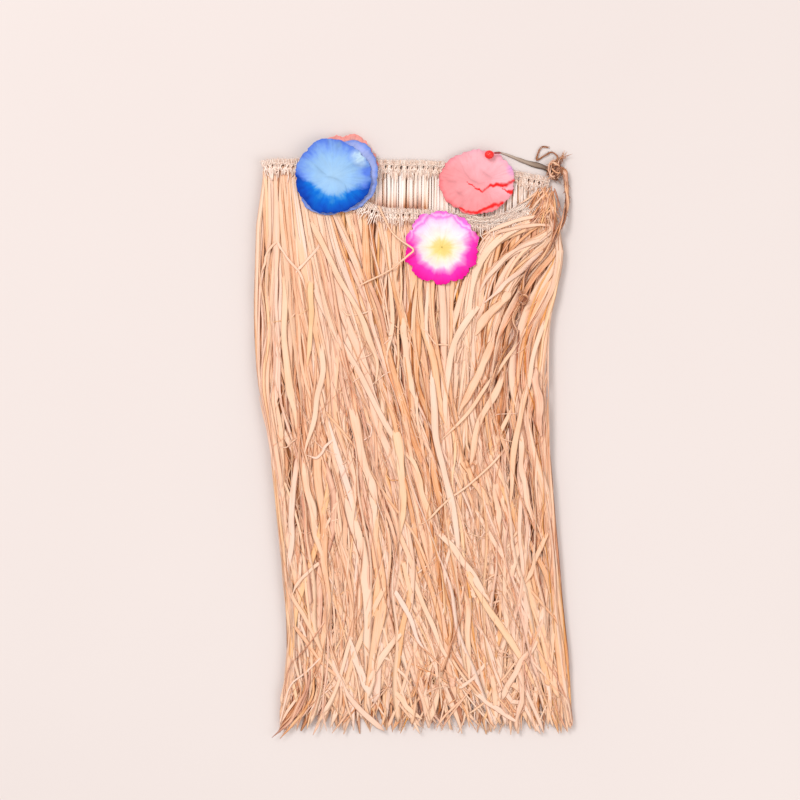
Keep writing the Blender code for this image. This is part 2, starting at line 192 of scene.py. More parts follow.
Station = namedtuple("Station", "place across up wide thick along tone")
BLADE = ((-0.5, 0.0), (0.0, -0.5), (0.5, 0.0), (0.24, 0.42), (-0.2, 0.5))
PLEAT = ((-0.5, 0.0), (0.0, -0.5), (0.5, 0.0), (0.34, 0.42), (0.12, 0.1), (-0.1, 0.5), (-0.34, 0.15))
THREAD = ((-0.5, -0.3), (0.5, -0.3), (0.0, 0.6))
UPWARDS = Vector((0, 0, 1))
TABLE_CLEAR = 0.05
ROOT_SHARE = 0.09
PALE_SHARE = 0.16
WIDTH_SWAY = 0.3
TONE_SWAY = 0.16


def smooth(points, steps=8):
    """Points on a smooth curve through the given ones."""
    knots = [Vector(p) for p in points]
    ends = [knots[0] * 2 - knots[1], *knots, knots[-1] * 2 - knots[-2]]
    found = []
    for a, b, c, d in zip(ends, ends[1:], ends[2:], ends[3:]):
        for i in range(steps):
            t = i / steps
            bend = (2 * a - 5 * b + 4 * c - d) * t * t + (3 * b - a - 3 * c + d) * t**3
            found.append(b + ((c - a) * t + bend) / 2)
    return [*found, knots[-1]]


def spread(points, count):
    """count points at even distances along the line through the given ones."""
    lengths = [0.0]
    for a, b in zip(points, points[1:]):
        lengths.append(lengths[-1] + (b - a).length)
    found = []
    i = 1
    for k in range(count):
        far = lengths[-1] * k / (count - 1)
        while i < len(lengths) - 1 and lengths[i] < far:
            i += 1
        part = (far - lengths[i - 1]) / (lengths[i] - lengths[i - 1])
        found.append(points[i - 1].lerp(points[i], min(max(part, 0.0), 1.0)))
    return found


def shares(count):
    """count even shares from 0 to 1."""
    return [k / (count - 1) for k in range(count)]


def length_of(points):
    """The length of the line through these points."""
    return sum((b - a).length for a, b in zip(points, points[1:]))


def frame_at(points, i):
    """The direction of a line of points at one of them, the way across it, and the way up from it."""
    direction = (points[min(i + 1, len(points) - 1)] - points[max(i - 1, 0)]).normalized()
    across = direction.cross(UPWARDS).normalized()
    return direction, across, across.cross(direction)


def towards(heading):
    """A step of length 1 along the table."""
    return Vector((math.cos(heading), math.sin(heading), 0))


def sway(seed, far):
    """A smooth number from about -1 to 1 that changes along one strand."""
    return noise.noise(Vector((far, seed * 3.17, seed * 0.71)))


def strand(points, wide, thick, tone, roll=0.0, tip=0.12, root=1.0, twist=0.0, seed=0, pale=0.0):
    """One strand's stations: it lies flat on its line, rolled and twisted about it, and thins to its tip."""
    last = len(points) - 1
    stations = []
    along = 0.0
    for i, point in enumerate(points):
        share = i / last
        _, across, up = frame_at(points, i)
        turn = roll * sway(seed, share * 5) + twist * share
        side = across * math.cos(turn) + up * math.sin(turn)
        top = up * math.cos(turn) - across * math.sin(turn)
        if i:
            along += (point - points[i - 1]).length
        size = min(1.0, (1 - share) / tip + 0.2) * (root + (1 - root) * min(1.0, share / ROOT_SHARE))
        size *= 1 + WIDTH_SWAY * sway(seed + 9, share * 6)
        light = tone + TONE_SWAY * sway(seed + 5, share * 4) + pale * max(0.0, 1 - share / PALE_SHARE)
        stations.append(Station(point, side, top, wide * size, thick * min(1, size + 0.3), along, light))
    return stations


def strand_mesh(name, strands, section=BLADE):
    """One mesh of many strands. Each starts as one section, and all are extruded together."""
    bm = bmesh.new()
    strand_of = bm.verts.layers.int.new("strand")
    corner_of = bm.verts.layers.int.new("corner")
    tone_of = bm.verts.layers.float.new("tone")
    fibre_of = bm.verts.layers.float_vector.new("fibre")

    def settle(v, step):
        station = strands[v[strand_of]][step]
        side, rise = section[v[corner_of]]
        offset = station.across * (side * station.wide) + station.up * (rise * station.thick)
        v.co = (station.place + offset) * MM
        v.co.z = max(v.co.z, TABLE_CLEAR * MM)
        v[tone_of] = station.tone
        v[fibre_of] = Vector((station.along / 10, side * 2, v[strand_of] * 0.617))

    ends = []
    for index in range(len(strands)):
        ring = [bm.verts.new() for _ in section]
        for corner, v in enumerate(ring):
            v[strand_of] = index
            v[corner_of] = corner
            settle(v, 0)
        ends.append(bm.faces.new(ring))
    for step in range(1, len(strands[0])):
        if step == 1:
            grown = bmesh.ops.extrude_face_region(bm, geom=ends)["geom"]
            ends = [f for f in grown if isinstance(f, bmesh.types.BMFace)]
        else:
            ends = bmesh.ops.extrude_discrete_faces(bm, faces=ends)["faces"]
        for face in ends:
            for v in face.verts:
                settle(v, step)
    bmesh.ops.recalc_face_normals(bm, faces=bm.faces)
    return object_from(bm, name)


def object_from(bm, name):
    """Makes the bmesh a smooth-shaded object that rides on the skirt."""
    mesh = bpy.data.meshes.new(name)
    bm.to_mesh(mesh)
    bm.free()
    mesh.shade_smooth()
    obj = bpy.data.objects.new(name, mesh)
    bpy.context.collection.objects.link(obj)
    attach(obj, "root")
    return obj


def dressed(obj, material, nodes=()):
    """Gives a piece its material and slot, and lets it stand for its CAD nodes."""
    obj.data.materials.append(material)
    if nodes:
        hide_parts(*nodes)
    return obj


def strand_piece(name, strands, material, nodes=(), section=BLADE):
    """One dressed piece of many strands."""
    return dressed(strand_mesh(name, strands, section), material, nodes)


def effect_group(name, inputs, outputs):
    """A node group with these number sockets: its tree, what it is given, and where it puts out."""
    group = bpy.data.node_groups.new(name, "ShaderNodeTree")
    for socket, value in inputs.items():
        made = group.interface.new_socket(socket, in_out="INPUT", socket_type="NodeSocketFloat")
        made.default_value = value
    for socket in outputs:
        group.interface.new_socket(socket, in_out="OUTPUT", socket_type="NodeSocketFloat")
    return group, group.nodes.new("NodeGroupInput").outputs, group.nodes.new("NodeGroupOutput").inputs


def carried(tree, name, output="Fac"):
    """A value that the mesh carries as an attribute of this name."""
    return node(tree, "Attribute", attribute_name=name, attribute_type="GEOMETRY").outputs[output]


def nudge(tree, value, weight, onto):
    """The sum of onto and the weighted distance of a noise from its middle."""
    off_middle = math_node(tree, "SUBTRACT", value, 0.5)
    return math_node(tree, "MULTIPLY_ADD", off_middle, weight, onto)


tree, given, put_out = effect_group(
    "raffia_grain", {"Lines": 3.0, "Stretch": 0.35}, ("Streak", "Patch", "Edge", "Split", "Own")
)
raffia_grain = tree
parts = node(tree, "SeparateXYZ", {0: carried(tree, "fibre", "Vector")}).outputs
along = math_node(tree, "MULTIPLY", parts["X"], given["Stretch"])
lines = math_node(tree, "MULTIPLY", parts["Y"], given["Lines"])
streak_at = node(tree, "CombineXYZ", {"X": along, "Y": lines, "Z": parts["Z"]}).outputs[0]
streak = node(tree, "TexNoise", {"Vector": streak_at, "Scale": 1.0, "Detail": 4.0, "Roughness": 0.65})
tree.links.new(streak.outputs[0], put_out["Streak"])
patch_at = node(tree, "CombineXYZ", {"X": parts["X"], "Y": parts["Z"]}).outputs[0]
patch = node(tree, "TexNoise", {"Vector": patch_at, "Scale": 0.45, "Detail": 3.0})
tree.links.new(patch.outputs[0], put_out["Patch"])
# Edge: darker towards each strand's sides, partly the curled edge's own tone and partly painted shade.
edge = math_node(tree, "POWER", math_node(tree, "ABSOLUTE", parts["Y"]), 3.0)
tree.links.new(edge, put_out["Edge"])
split_along = math_node(tree, "MULTIPLY", parts["X"], 0.09)
split_across = math_node(tree, "MULTIPLY", parts["Y"], 1.3)
split_at = node(tree, "CombineXYZ", {"X": split_along, "Y": split_across, "Z": parts["Z"]}).outputs[0]
split = node(tree, "TexNoise", {"Vector": split_at, "Scale": 2.0, "Detail": 1.0}).outputs[0]
off_line = math_node(tree, "ABSOLUTE", math_node(tree, "SUBTRACT", split, 0.5))
split = node(tree, "MapRange", {0: off_line, 1: 0.0, 2: 0.035, 3: 1.0, 4: 0.0}).outputs[0]
tree.links.new(split, put_out["Split"])
own_at = math_node(tree, "MULTIPLY", parts["Z"], 7.3)
own = node(tree, "TexNoise", {"W": own_at, "Scale": 1.0, "Detail": 0.0}, noise_dimensions="1D")
tree.links.new(own.outputs[0], put_out["Own"])


def raffia_material(name, stops, streaks=0.9, patches=0.5, edges=0.3, roughness=0.5, lines=6.0, splits=0.2):
    """Dry raffia: its tone along the ramp comes from the strand, its fibres, its patches and its edges, which
    are partly painted shade.
    """
    material, tree, shader = new_material(name, roughness, Sheen_Weight=0.12, Sheen_Roughness=0.4)
    grain = node(tree, "Group", node_tree=raffia_grain)
    grain.inputs["Lines"].default_value = lines
    tone = nudge(tree, grain.outputs["Streak"], streaks, carried(tree, "tone"))
    tone = nudge(tree, grain.outputs["Patch"], patches, tone)
    tone = math_node(tree, "MULTIPLY_ADD", grain.outputs["Edge"], -edges, tone)
    tone = math_node(tree, "MULTIPLY_ADD", grain.outputs["Split"], -splits, tone)
    golden = math_node(tree, "MULTIPLY_ADD", grain.outputs["Own"], 0.018, 0.491)
    rich = math_node(tree, "MULTIPLY_ADD", grain.outputs["Own"], 0.5, 0.72)
    dry = node(tree, "HueSaturation", {"Hue": golden, "Saturation": rich, "Color": ramp(tree, tone, stops)})
    tree.links.new(dry.outputs[0], shader.inputs["Base Color"])
    rough = math_node(tree, "MULTIPLY_ADD", grain.outputs["Streak"], 0.3, roughness - 0.1)
    tree.links.new(rough, shader.inputs["Roughness"])
    bump = node(tree, "Bump", {"Strength": 0.35, "Distance": 0.0003, "Height": grain.outputs["Streak"]})
    tree.links.new(bump.outputs[0], shader.inputs["Normal"])
    return material


TIE_STOPS = ((0.0, 96, 50, 34), (0.25, 176, 110, 74), (0.55, 230, 168, 128), (1.0, 246, 204, 168))
FLAT_STOPS = ((0.0, 104, 78, 60), (0.4, 164, 142, 124), (1.0, 204, 186, 172))
STRAND_STOPS = (
    (0.0, 166, 92, 50), (0.2, 222, 148, 98), (0.42, 241, 187, 147), (0.66, 245, 199, 165),
    (1.0, 248, 210, 183),
)
tie_material = raffia_material("tie_raffia", TIE_STOPS, streaks=0.9, roughness=0.7)
flat_material = raffia_material("flat_tie_raffia", FLAT_STOPS, streaks=0.9, roughness=0.55)
strand_material = raffia_material("raffia_strand", STRAND_STOPS)


Fray = namedtuple("Fray", "line count reach wide seed tone")
HAIR_STEPS = 7


def hairs(fray):
    """Short curved hairs that stand out all round a line, on strands that fray."""
    rng = random.Random(fray.seed)
    line = fray.line
    found = []
    for _ in range(fray.count):
        at = rng.randrange(len(line) - 1)
        start = line[at].lerp(line[at + 1], rng.random())
        along = (line[at + 1] - line[at]).normalized()
        turn = rng.uniform(0, 2 * math.pi)
        across = along.cross(UPWARDS).normalized()
        out = across * math.cos(turn) + UPWARDS * (0.5 * math.sin(turn))
        length = fray.reach * rng.uniform(0.4, 1.0)
        lean = along * rng.uniform(0.2, 2.2) * rng.choice((1, 1, -1))
        side = out.cross(along) * rng.uniform(-0.6, 0.6) - UPWARDS * 0.25
        points = [start + (out + lean) * (length * t) + side * (length * t * t) for t in shares(HAIR_STEPS)]
        shade = fray.tone + rng.uniform(-0.35, 0.25)
        wide = fray.wide * rng.uniform(0.6, 1.6)
        found.append(strand(points, wide, fray.wide, shade, tip=0.5, seed=rng.random() * 50))
    return found


def twisted_tie(route, seed, low=0.2, high=0.8):
    """A loose bundle of thin flat strands that twist slowly round the route's line, which it gives back."""
    rng = random.Random(seed)
    line = spread(smooth(route.points), TIE_STEPS)
    total = length_of(line)
    strands = []
    for ply in range(route.plies):
        points = []
        for i, point in enumerate(line):
            share = i / (TIE_STEPS - 1)
            _, across, up = frame_at(line, i)
            turn = 2 * math.pi * (ply / route.plies + share * total / TWIST_LENGTH)
            turn += 1.6 * sway(seed + ply, share * 4)
            out = route.wide * (0.3 + 0.16 * sway(seed - ply, share * 7))
            points.append(point + across * (out * math.cos(turn)) + up * (0.7 * out * math.sin(turn)))
        tone = rng.uniform(low, high)
        wide = route.wide * rng.uniform(0.2, 0.4)
        strands.append(strand(points, wide, wide * 0.6, tone, roll=1.2, tip=0.015, seed=seed + ply))
    tie = strand_piece(route.name + "_cord", strands, tie_material, [route.name])
    return line


def ring_turns():
    """The ring knot: thin strands wound round a ring, one over the other."""
    strands = []
    for ply in range(RING_PLIES):
        points = []
        for t in shares(RING_STEPS):
            turn = 2 * math.pi * (1.04 * t + 0.13 * ply)
            wind = 2 * math.pi * (ply / RING_PLIES + 1.2 * t)
            out = RING_RADIUS + RING_THICK * (0.3 + 0.1 * sway(ply, t * 9)) * math.cos(wind)
            rise = RING_THICK * 0.3 * math.sin(wind)
            points.append(RING_CENTRE + Vector((out * math.cos(turn), out * 1.05 * math.sin(turn), rise)))
        strands.append(strand(points, 1.1, 0.8, 0.3 + 0.07 * ply, roll=1.0, tip=0.02, seed=ply))
    return strands


ring = strand_piece("ring_knot", ring_turns(), tie_material, ["tie_ring"])
long_line = twisted_tie(TIE_LONG, 11)
tail_line = twisted_tie(TIE_TAIL, 23)
loop_line = twisted_tie(TIE_LOOP, 37, low=0.05, high=0.45)

KNOT_FRAYS = ((128, 244), (124, 240), (118, 236), (116, 230), (122, 226))
knot_line = [Vector((x, y, 4.0)) for x, y in KNOT_FRAYS]
ring_line = [RING_CENTRE + Vector((4.4 * math.cos(t), 4.4 * math.sin(t), 0.4)) for t in range(7)]
FRAYS = (
    Fray(long_line, count=330, reach=4.6, wide=0.30, seed=61, tone=0.50),
    Fray(tail_line, count=240, reach=3.4, wide=0.28, seed=62, tone=0.55),
    Fray(loop_line, count=70, reach=1.8, wide=0.24, seed=63, tone=0.30),
    Fray(knot_line, count=300, reach=4.6, wide=0.40, seed=64, tone=0.50),
    Fray(ring_line, count=60, reach=2.6, wide=0.26, seed=65, tone=0.50),
)
frays = [hair for fray in FRAYS for hair in hairs(fray)]
strand_piece("tie_frays", frays, tie_material, section=THREAD)

flat_end = spread(smooth(TIE_FLAT.points), 40)
flat_strand = strand(flat_end, wide=5.0, thick=1.0, tone=0.7, roll=0.15, tip=0.95, seed=3)
flat_strand = [s._replace(tone=s.tone - 0.75 * math.exp(-s.along / 14)) for s in flat_strand]
flat_tie = strand_piece("flat_tie", [flat_strand], flat_material, ["tie_flat"])
TIE_FLAT._replace(wide=FLAT_WIDE)

loose_line = spread(smooth(LOOSE_STRAND.points), 60)
kinked = [strand(loose_line, wide=1.9, thick=0.8, tone=0.72, roll=0.5, tip=0.08, seed=4)]
loose = strand_piece("kinked_strand", kinked, strand_material, ["loose_strand"])

# The two raffia mats: the dense layers of bundles under the strands that show, front and back.
# Each is one ridged sheet that hangs from its half of the band, in painted shade: darker and more orange in
# its depth.
Row = namedtuple("Row", "y loft left right")
ROWS = (
    Row(y=150, loft=1.00, left=-137, right=118),
    Row(y=50, loft=1.06, left=-135, right=110),
    Row(y=-50, loft=1.02, left=-117, right=118),
    Row(y=-150, loft=0.90, left=-109, right=127),
    Row(y=-200, loft=0.80, left=-107, right=127),
    Row(y=-253, loft=0.62, left=-122, right=135),
)
FRONT_WAIST = (
    (-132, 235), (-121, 237), (-99, 235), (-78, 226), (-56, 210), (-37, 198), (-26, 195), (-4, 194),
    (22, 192), (43, 189), (58, 187), (73, 189), (90, 197), (105, 207), (116, 216),
)
BACK_WAIST = (
    (-132, 235), (-99, 238), (-60, 239), (-34, 237), (13, 236), (39, 233), (73, 229), (99, 225), (117, 221),
)
BAND_TALL = 9.0
BACK_LEVEL = 0.0
FRONT_LEVEL = 4.2
MAT_THICK = 1.7
MAT_LONG = 24
MAT_ACROSS = 150
MAT_END = 24
MAT_WALL = 0.4
BAND_STEPS = 200


def flat_line(points, count):
    """An even line on the table through the given points."""
    return spread(smooth([(x, y, 0) for x, y in points]), count)


front_band = flat_line(FRONT_WAIST, BAND_STEPS)
back_band = flat_line(BACK_WAIST, BAND_STEPS)


def at_row(y, column):
    """The value of a column of the rows' table at this height of the skirt."""
    if y >= ROWS[0].y:
        return getattr(ROWS[0], column)
    for upper, lower in zip(ROWS, ROWS[1:]):
        if y >= lower.y:
            share = (upper.y - y) / (upper.y - lower.y)
            return getattr(upper, column) * (1 - share) + getattr(lower, column) * share
    return getattr(ROWS[-1], column)


def below_band(band, share, distance):
    """The point at this share of the band, moved towards the hem square to it."""
    i = min(round(share * (len(band) - 1)), len(band) - 2)
    direction = (band[i + 1] - band[i]).normalized()
    return band[i] + Vector((direction.y, -direction.x, 0)) * distance


def raffia_mat(name, node_name, band, level):
    """A ridged sheet from the band's lower edge to just above the hem."""
    bm = bmesh.new()
    bmesh.ops.create_grid(bm, x_segments=MAT_ACROSS, y_segments=MAT_LONG, size=1)
    tone_of = bm.verts.layers.float.new("tone")
    fibre_of = bm.verts.layers.float_vector.new("fibre")
    for v in bm.verts:
        share = (v.co.x + 1) / 2
        fall = (1 - v.co.y) / 2
        top = below_band(band, share, BAND_TALL / 2)
        y = top.y + (ROWS[-1].y + MAT_END - top.y) * fall
        left, right = at_row(y, "left"), at_row(y, "right")
        settled = min(1.0, fall * 3.0)
        x = top.x * (1 - settled) + (left + 2 + (right - left - 4) * share) * settled
        groove = noise.noise(Vector((share * 60, fall * 3, level)))
        rise = level + 0.5 + MAT_THICK * (0.45 + 0.4 * groove)
        v.co = Vector((x, y, rise * at_row(y, "loft"))) * MM
        # Painted shade: the tone is lower where the ridges dip, so the sheet is darker in its hollows.
        v[tone_of] = 0.35 + 0.35 * groove
        v[fibre_of] = Vector((fall * 46, share * 14, level))
    obj = object_from(bm, name)
    wall = obj.modifiers.new("thickness", "SOLIDIFY")
    wall.thickness = MAT_WALL * MM
    wall.offset = -1.0
    dressed(obj, shaded_mat_material, [node_name])


# The mat's colours are painted shade: the deep layers of raffia, darker and more orange than the strands over
# them.
MAT_SHADE_STOPS = ((0.0, 128, 66, 34), (0.35, 184, 112, 66), (0.65, 222, 154, 106), (1.0, 244, 194, 150))
shaded_mat_material = raffia_material("raffia_mat", MAT_SHADE_STOPS, streaks=1.1, edges=0.0, lines=9.0, roughness=0.7)
raffia_mat("back_mat", "back_panel", back_band, BACK_LEVEL)
raffia_mat("front_mat", "front_panel", front_band, FRONT_LEVEL)

# The strands that hang from the band, back and front: flat ribbons of dry raffia, some wide, some split fine.
# At the left they hang straight, from the middle they cross to the right, and at the right they fan in
# from the tied corner. A guide gives the line of one strand, and the rest follow the guides beside them.
LEFT_EDGE = (
    (-135, 230), (-136, 206), (-137, 120), (-135, 59), (-127, 8), (-119, -43), (-109, -139), (-108, -201),
    (-119, -256),
)
HANG = (
    LEFT_EDGE,
    ((-99, 223), (-97, 172), (-94, 120), (-89, 51), (-82, -9), (-73, -70), (-68, -139), (-66, -208),
     (-68, -256)),
    ((-60, 206), (-59, 163), (-56, 111), (-49, 51), (-42, -9), (-35, -70), (-28, -139), (-23, -208),
     (-20, -256)),
    ((-13, 191), (-13, 154), (-11, 103), (-6, 42), (-1, -9), (6, -78), (13, -139), (20, -208), (27, -256)),
    ((43, 184), (41, 146), (41, 94), (44, 42), (47, -9), (54, -70), (61, -130), (68, -191), (73, -256)),
    ((99, 197), (91, 154), (84, 103), (84, 42), (85, -9), (91, -70), (96, -130), (103, -191), (108, -256)),
    ((119, 198), (120, 153), (117, 120), (111, 77), (110, 34), (114, -27), (119, -87), (127, -165),
     (135, -250)),
)
SWEEP = (
    LEFT_EDGE,
    ((-125, 230), (-124, 180), (-125, 120), (-122, 51), (-113, -9), (-106, -70), (-97, -139), (-97, -208),
     (-109, -256)),
    ((-112, 228), (-108, 172), (-104, 103), (-97, 34), (-90, -27), (-84, -87), (-78, -147), (-80, -208),
     (-92, -256)),
    ((-99, 223), (-89, 172), (-75, 111), (-60, 51), (-49, -9), (-41, -70), (-35, -130), (-32, -191),
     (-27, -255)),
    ((-82, 215), (-65, 172), (-44, 111), (-25, 51), (-11, -9), (1, -70), (9, -130), (18, -191), (30, -255)),
    ((-34, 193), (-28, 154), (-20, 103), (-9, 42), (1, -9), (15, -78), (27, -139), (37, -199), (56, -255)),
    ((-13, 191), (-9, 154), (-4, 103), (3, 42), (11, -9), (25, -78), (37, -139), (49, -199), (69, -256)),
    ((13, 189), (13, 146), (15, 94), (20, 42), (28, -9), (39, -70), (49, -130), (61, -191), (80, -256)),
    ((43, 184), (41, 146), (35, 94), (35, 42), (42, -9), (53, -70), (63, -130), (75, -191), (91, -257)),
    ((116, 207), (119, 201), (99, 196), (73, 185), (58, 172), (47, 144), (43, 103), (43, 51), (49, -1),
     (61, -70), (73, -130), (85, -191), (99, -257)),
    ((117, 206), (123, 195), (118, 189), (97, 183), (76, 169), (61, 150), (53, 120), (51, 77), (54, 25),
     (65, -35), (77, -104), (91, -182), (108, -257)),
    ((118, 205), (124, 190), (121, 178), (103, 169), (84, 153), (70, 128), (62, 94), (60, 47), (66, -9),
     (78, -78), (94, -156), (115, -257)),
    ((119, 204), (125, 184), (122, 167), (108, 154), (89, 128), (77, 98), (71, 59), (73, 8), (83, -53),
     (96, -122), (109, -191), (122, -257)),
    ((120, 203), (125, 176), (122, 153), (109, 133), (96, 107), (87, 77), (84, 34), (90, -18), (100, -87),
     (113, -165), (127, -257)),
    ((120, 203), (125, 167), (121, 137), (112, 115), (103, 90), (97, 59), (97, 16), (103, -44), (113, -113),
     (122, -182), (132, -255)),
    ((120, 203), (125, 163), (121, 128), (115, 103), (109, 77), (106, 42), (109, -1), (114, -61),
     (121, -130), (127, -191), (134, -251)),
    ((121, 203), (125, 172), (122, 137), (117, 111), (113, 77), (111, 34), (114, -18), (119, -87),
     (125, -147), (129, -199), (135, -250)),
)
GUIDE_STEPS = 60
MIDDLE_STEP = 32
EDGE_STRAY = 5.0
EDGE_NARROW = 3.2
EDGE_SOFT = 6.0
BACK_BAND_Z = 2.1
FRONT_BAND_Z = 7.6


def kept_within(value, low, high):
    """The value, bent softly so that it never leaves its range."""
    if value < low + EDGE_SOFT:
        value = low + EDGE_SOFT * math.exp((value - low) / EDGE_SOFT - 1)
    if value > high - EDGE_SOFT:
        value = high - EDGE_SOFT * math.exp((high - value) / EDGE_SOFT - 1)
    return value


class Flow:
    """A field of lines between neighbouring guides, read by the place across the skirt's middle."""

    def __init__(self, guides, band, band_level):
        self.lines = [flat_line(guide, GUIDE_STEPS) for guide in guides]
        self.middles = [line[MIDDLE_STEP].x for line in self.lines]
        self.band = band
        self.band_level = band_level

    def at(self, middle, share, stray):
        """The point on the line through this middle, at this share of its way to the hem."""
        middles = self.middles
        middle = kept_within(middle, middles[0] - stray, middles[-1] + stray)
        i = 1
        while i < len(middles) - 1 and middles[i] < middle:
            i += 1
        part = (middle - middles[i - 1]) / (middles[i] - middles[i - 1])
        far = min(max(share, 0.0), 1.0) * (GUIDE_STEPS - 1)
        step = min(int(far), GUIDE_STEPS - 2)
        left, right = self.lines[i - 1], self.lines[i]
        a = left[step].lerp(left[step + 1], far - step)
        b = right[step].lerp(right[step + 1], far - step)
        return a.lerp(b, part)

    def rooted(self, point, share):
        """The point, led to the band where a strand comes out of its hitch."""
        near = min(self.band, key=lambda other: abs(other.x - point.x))
        hold = max(0.0, 1 - share / ROOT_SHARE)
        x = point.x + (min(max(point.x, self.band[0].x + 2.5), self.band[-1].x - 1.5) - point.x) * hold
        y = point.y + (near.y - 1.5 - self.start_of(point.x)) * hold
        return Vector((x, y, point.z + (self.band_level - point.z) * hold))

    def start_of(self, x):
        """The y at which the flow's lines start at this x."""
        starts = [line[0] for line in self.lines]
        for a, b in zip(starts, starts[1:]):
            if x <= b.x:
                part = min(max((x - a.x) / max(b.x - a.x, 0.01), 0.0), 1.0)
                return a.y + (b.y - a.y) * part
        return starts[-1].y


hang = Flow(HANG, front_band, FRONT_BAND_Z)
back_hang = Flow(HANG, back_band, BACK_BAND_Z)
sweep = Flow(SWEEP, front_band, FRONT_BAND_Z)
Layer = namedtuple("Layer", "flow low high drift wander kink")
WHOLE = (0.0, 0.001)
BATCH_COLUMNS = "count widths thick seed tone stations start stop"
Batch = namedtuple("Batch", BATCH_COLUMNS, defaults=((0.4, 0.9), 32, WHOLE, (0.9, 1.0)))
LOCK = 5
LOCK_PARTS = 0.4
TIP_FLICK = 14
LOOSE_DIP = 2.4
TWISTS = (0, 0, 0, 0, 0, 0, math.pi, -math.pi)


def hanging(layer, batch):
    """Strands that follow a layer's flow towards the hem in small locks, each with its own sway and kinks."""
    rng = random.Random(batch.seed)
    found = []
    first, last = layer.flow.middles[0], layer.flow.middles[-1]
    for i in range(batch.count):
        middle = first + (last - first) * (i + rng.random()) / batch.count
        if i % LOCK == 0:
            lock_drift = rng.gauss(0, layer.drift)
        drift = lock_drift + rng.gauss(0, layer.drift * LOCK_PARTS)
        begin, end = rng.uniform(*batch.start), rng.uniform(*batch.stop)
        from_band = batch.start == WHOLE
        pivot = 0.1 if from_band else (begin + end) / 2
        level = rng.uniform(layer.low, layer.high)
        own = rng.random() * 90
        wide = rng.triangular(*batch.widths)
        if min(middle - first, last - middle) < 2 * LOCK:
            wide = min(wide, EDGE_NARROW)
        reach = rng.uniform(-1, 1 if wide > EDGE_NARROW else EDGE_STRAY)
        flick = rng.gauss(0, TIP_FLICK)
        points = []
        for k in range(batch.stations):
            share = begin + (end - begin) * k / (batch.stations - 1)
            free = min(1.0, share * 2.5)
            place = middle + drift * (share - pivot) + flick * max(0.0, share * 4 - 3) ** 2
            place += free * (layer.wander * sway(own, share * 2.4) + layer.kink * sway(own + 20, share * 8))
            point = layer.flow.at(place, share, reach * (0.6 + 0.7 * sway(own + 60, share * 6)))
            point.z = level + 0.8 * sway(own + 40, share * 7)
            if from_band:
                point = layer.flow.rooted(point, share)
            else:
                point.z -= LOOSE_DIP * max(0.0, 1 - k / batch.stations * 6)
            point.z *= at_row(point.y, "loft")
            points.append(point)
        twist = rng.choice(TWISTS)
        shade = rng.uniform(*batch.tone)
        tip = rng.uniform(0.01, 0.07)
        root, pale = (0.6, 0.12) if from_band else (0.15, 0.0)
        found.append(strand(points, wide, batch.thick, shade, 0.5, tip, root, twist, own, pale))
    return found


def layer_piece(name, layer, *batches, nodes=(), section=BLADE):
    """One piece of all the batches of strands that hang in a layer."""
    strands = [line for batch in batches for line in hanging(layer, batch)]
    return strand_piece(name, strands, strand_material, nodes, section)


WIDE = (2.4, 9.4, 4.0)
NARROW = (1.2, 3.2, 2.0)
FINE = (0.35, 0.8, 0.5)
layer_piece(
    "back_strands",
    Layer(back_hang, low=0.5, high=2.4, drift=10, wander=14, kink=3),
    Batch(85, WIDE, thick=0.6, seed=101),
    Batch(60, NARROW, thick=0.6, seed=102),
)

# Painted shade on the inner strands in the middle of the dip: the span of x where they darken, and the y
# below which they do.
INNER_SHADE_SPAN = (-42, 13)
INNER_SHADE_FROM = 208
INNER_STEPS = 30


def inner_strands(count, seed):
    """Pale straight strands that hang from the back band, seen through the dip of the front one."""
    rng = random.Random(seed)
    found = []
    for i in range(count):
        share = 0.03 + 0.94 * (i + rng.uniform(0.2, 0.8)) / count
        top = below_band(back_band, share, 6)
        own = rng.random() * 90
        level = rng.uniform(3.0, 3.9)
        low = ROWS[-1].y + rng.uniform(0, 26)
        points = []
        for fall in shares(INNER_STEPS):
            y = top.y + (low - top.y) * fall
            left, right = at_row(y, "left"), at_row(y, "right")
            settled = min(1.0, fall * 2.2)
            x = top.x * (1 - settled) + (left + 3 + (right - left - 6) * share) * settled
            points.append(Vector((x + 1.2 * sway(own, fall * 8), y, level * at_row(y, "loft"))))
        shade = rng.uniform(0.7, 1.1)
        line = strand(points, rng.uniform(2.2, 3.8), 0.6, shade, roll=0.4, tip=0.05, seed=own, root=0.7)
        # Painted shade: these strands darken from just above the front band's lip downwards.
        if INNER_SHADE_SPAN[0] < top.x < INNER_SHADE_SPAN[1]:
            painted_shades = [0.8 * min(max((INNER_SHADE_FROM - s.place.y) / 6, 0.0), 1.0) for s in line]
            line = [s._replace(tone=s.tone - shade) for s, shade in zip(line, painted_shades)]
        found.append(line)
    return found


INNER_STOPS = ((0.0, 186, 116, 76), (0.3, 236, 194, 168), (0.6, 253, 228, 212), (1.0, 255, 240, 232))
inner_material = raffia_material("inner_strand", INNER_STOPS, streaks=0.4, patches=0.3)
strand_piece("inner_strands", inner_strands(106, 7), inner_material, ["inner_fringe"])

# Painted shade: the under layer takes darker tones than the layer over it, for the shade between the strands.
layer_piece(
    "under_strands",
    Layer(hang, low=6.5, high=8.0, drift=18, wander=26, kink=8),
    Batch(90, WIDE, thick=0.5, seed=201, tone=(0.15, 0.7)),
    Batch(40, NARROW, thick=0.5, seed=202, tone=(0.1, 0.7)),
    nodes=["under_fringe_left", "under_fringe_right"],
)
layer_piece(
    "over_strands",
    Layer(sweep, low=7.7, high=9.4, drift=15, wander=26, kink=10),
    Batch(120, WIDE, thick=0.6, seed=301, tone=(0.35, 1.0), stations=44),
    Batch(90, NARROW, thick=0.5, seed=302, tone=(0.3, 1.0), stations=44),
    nodes=["over_fringe_left", "over_fringe_right"],
    section=PLEAT,
)

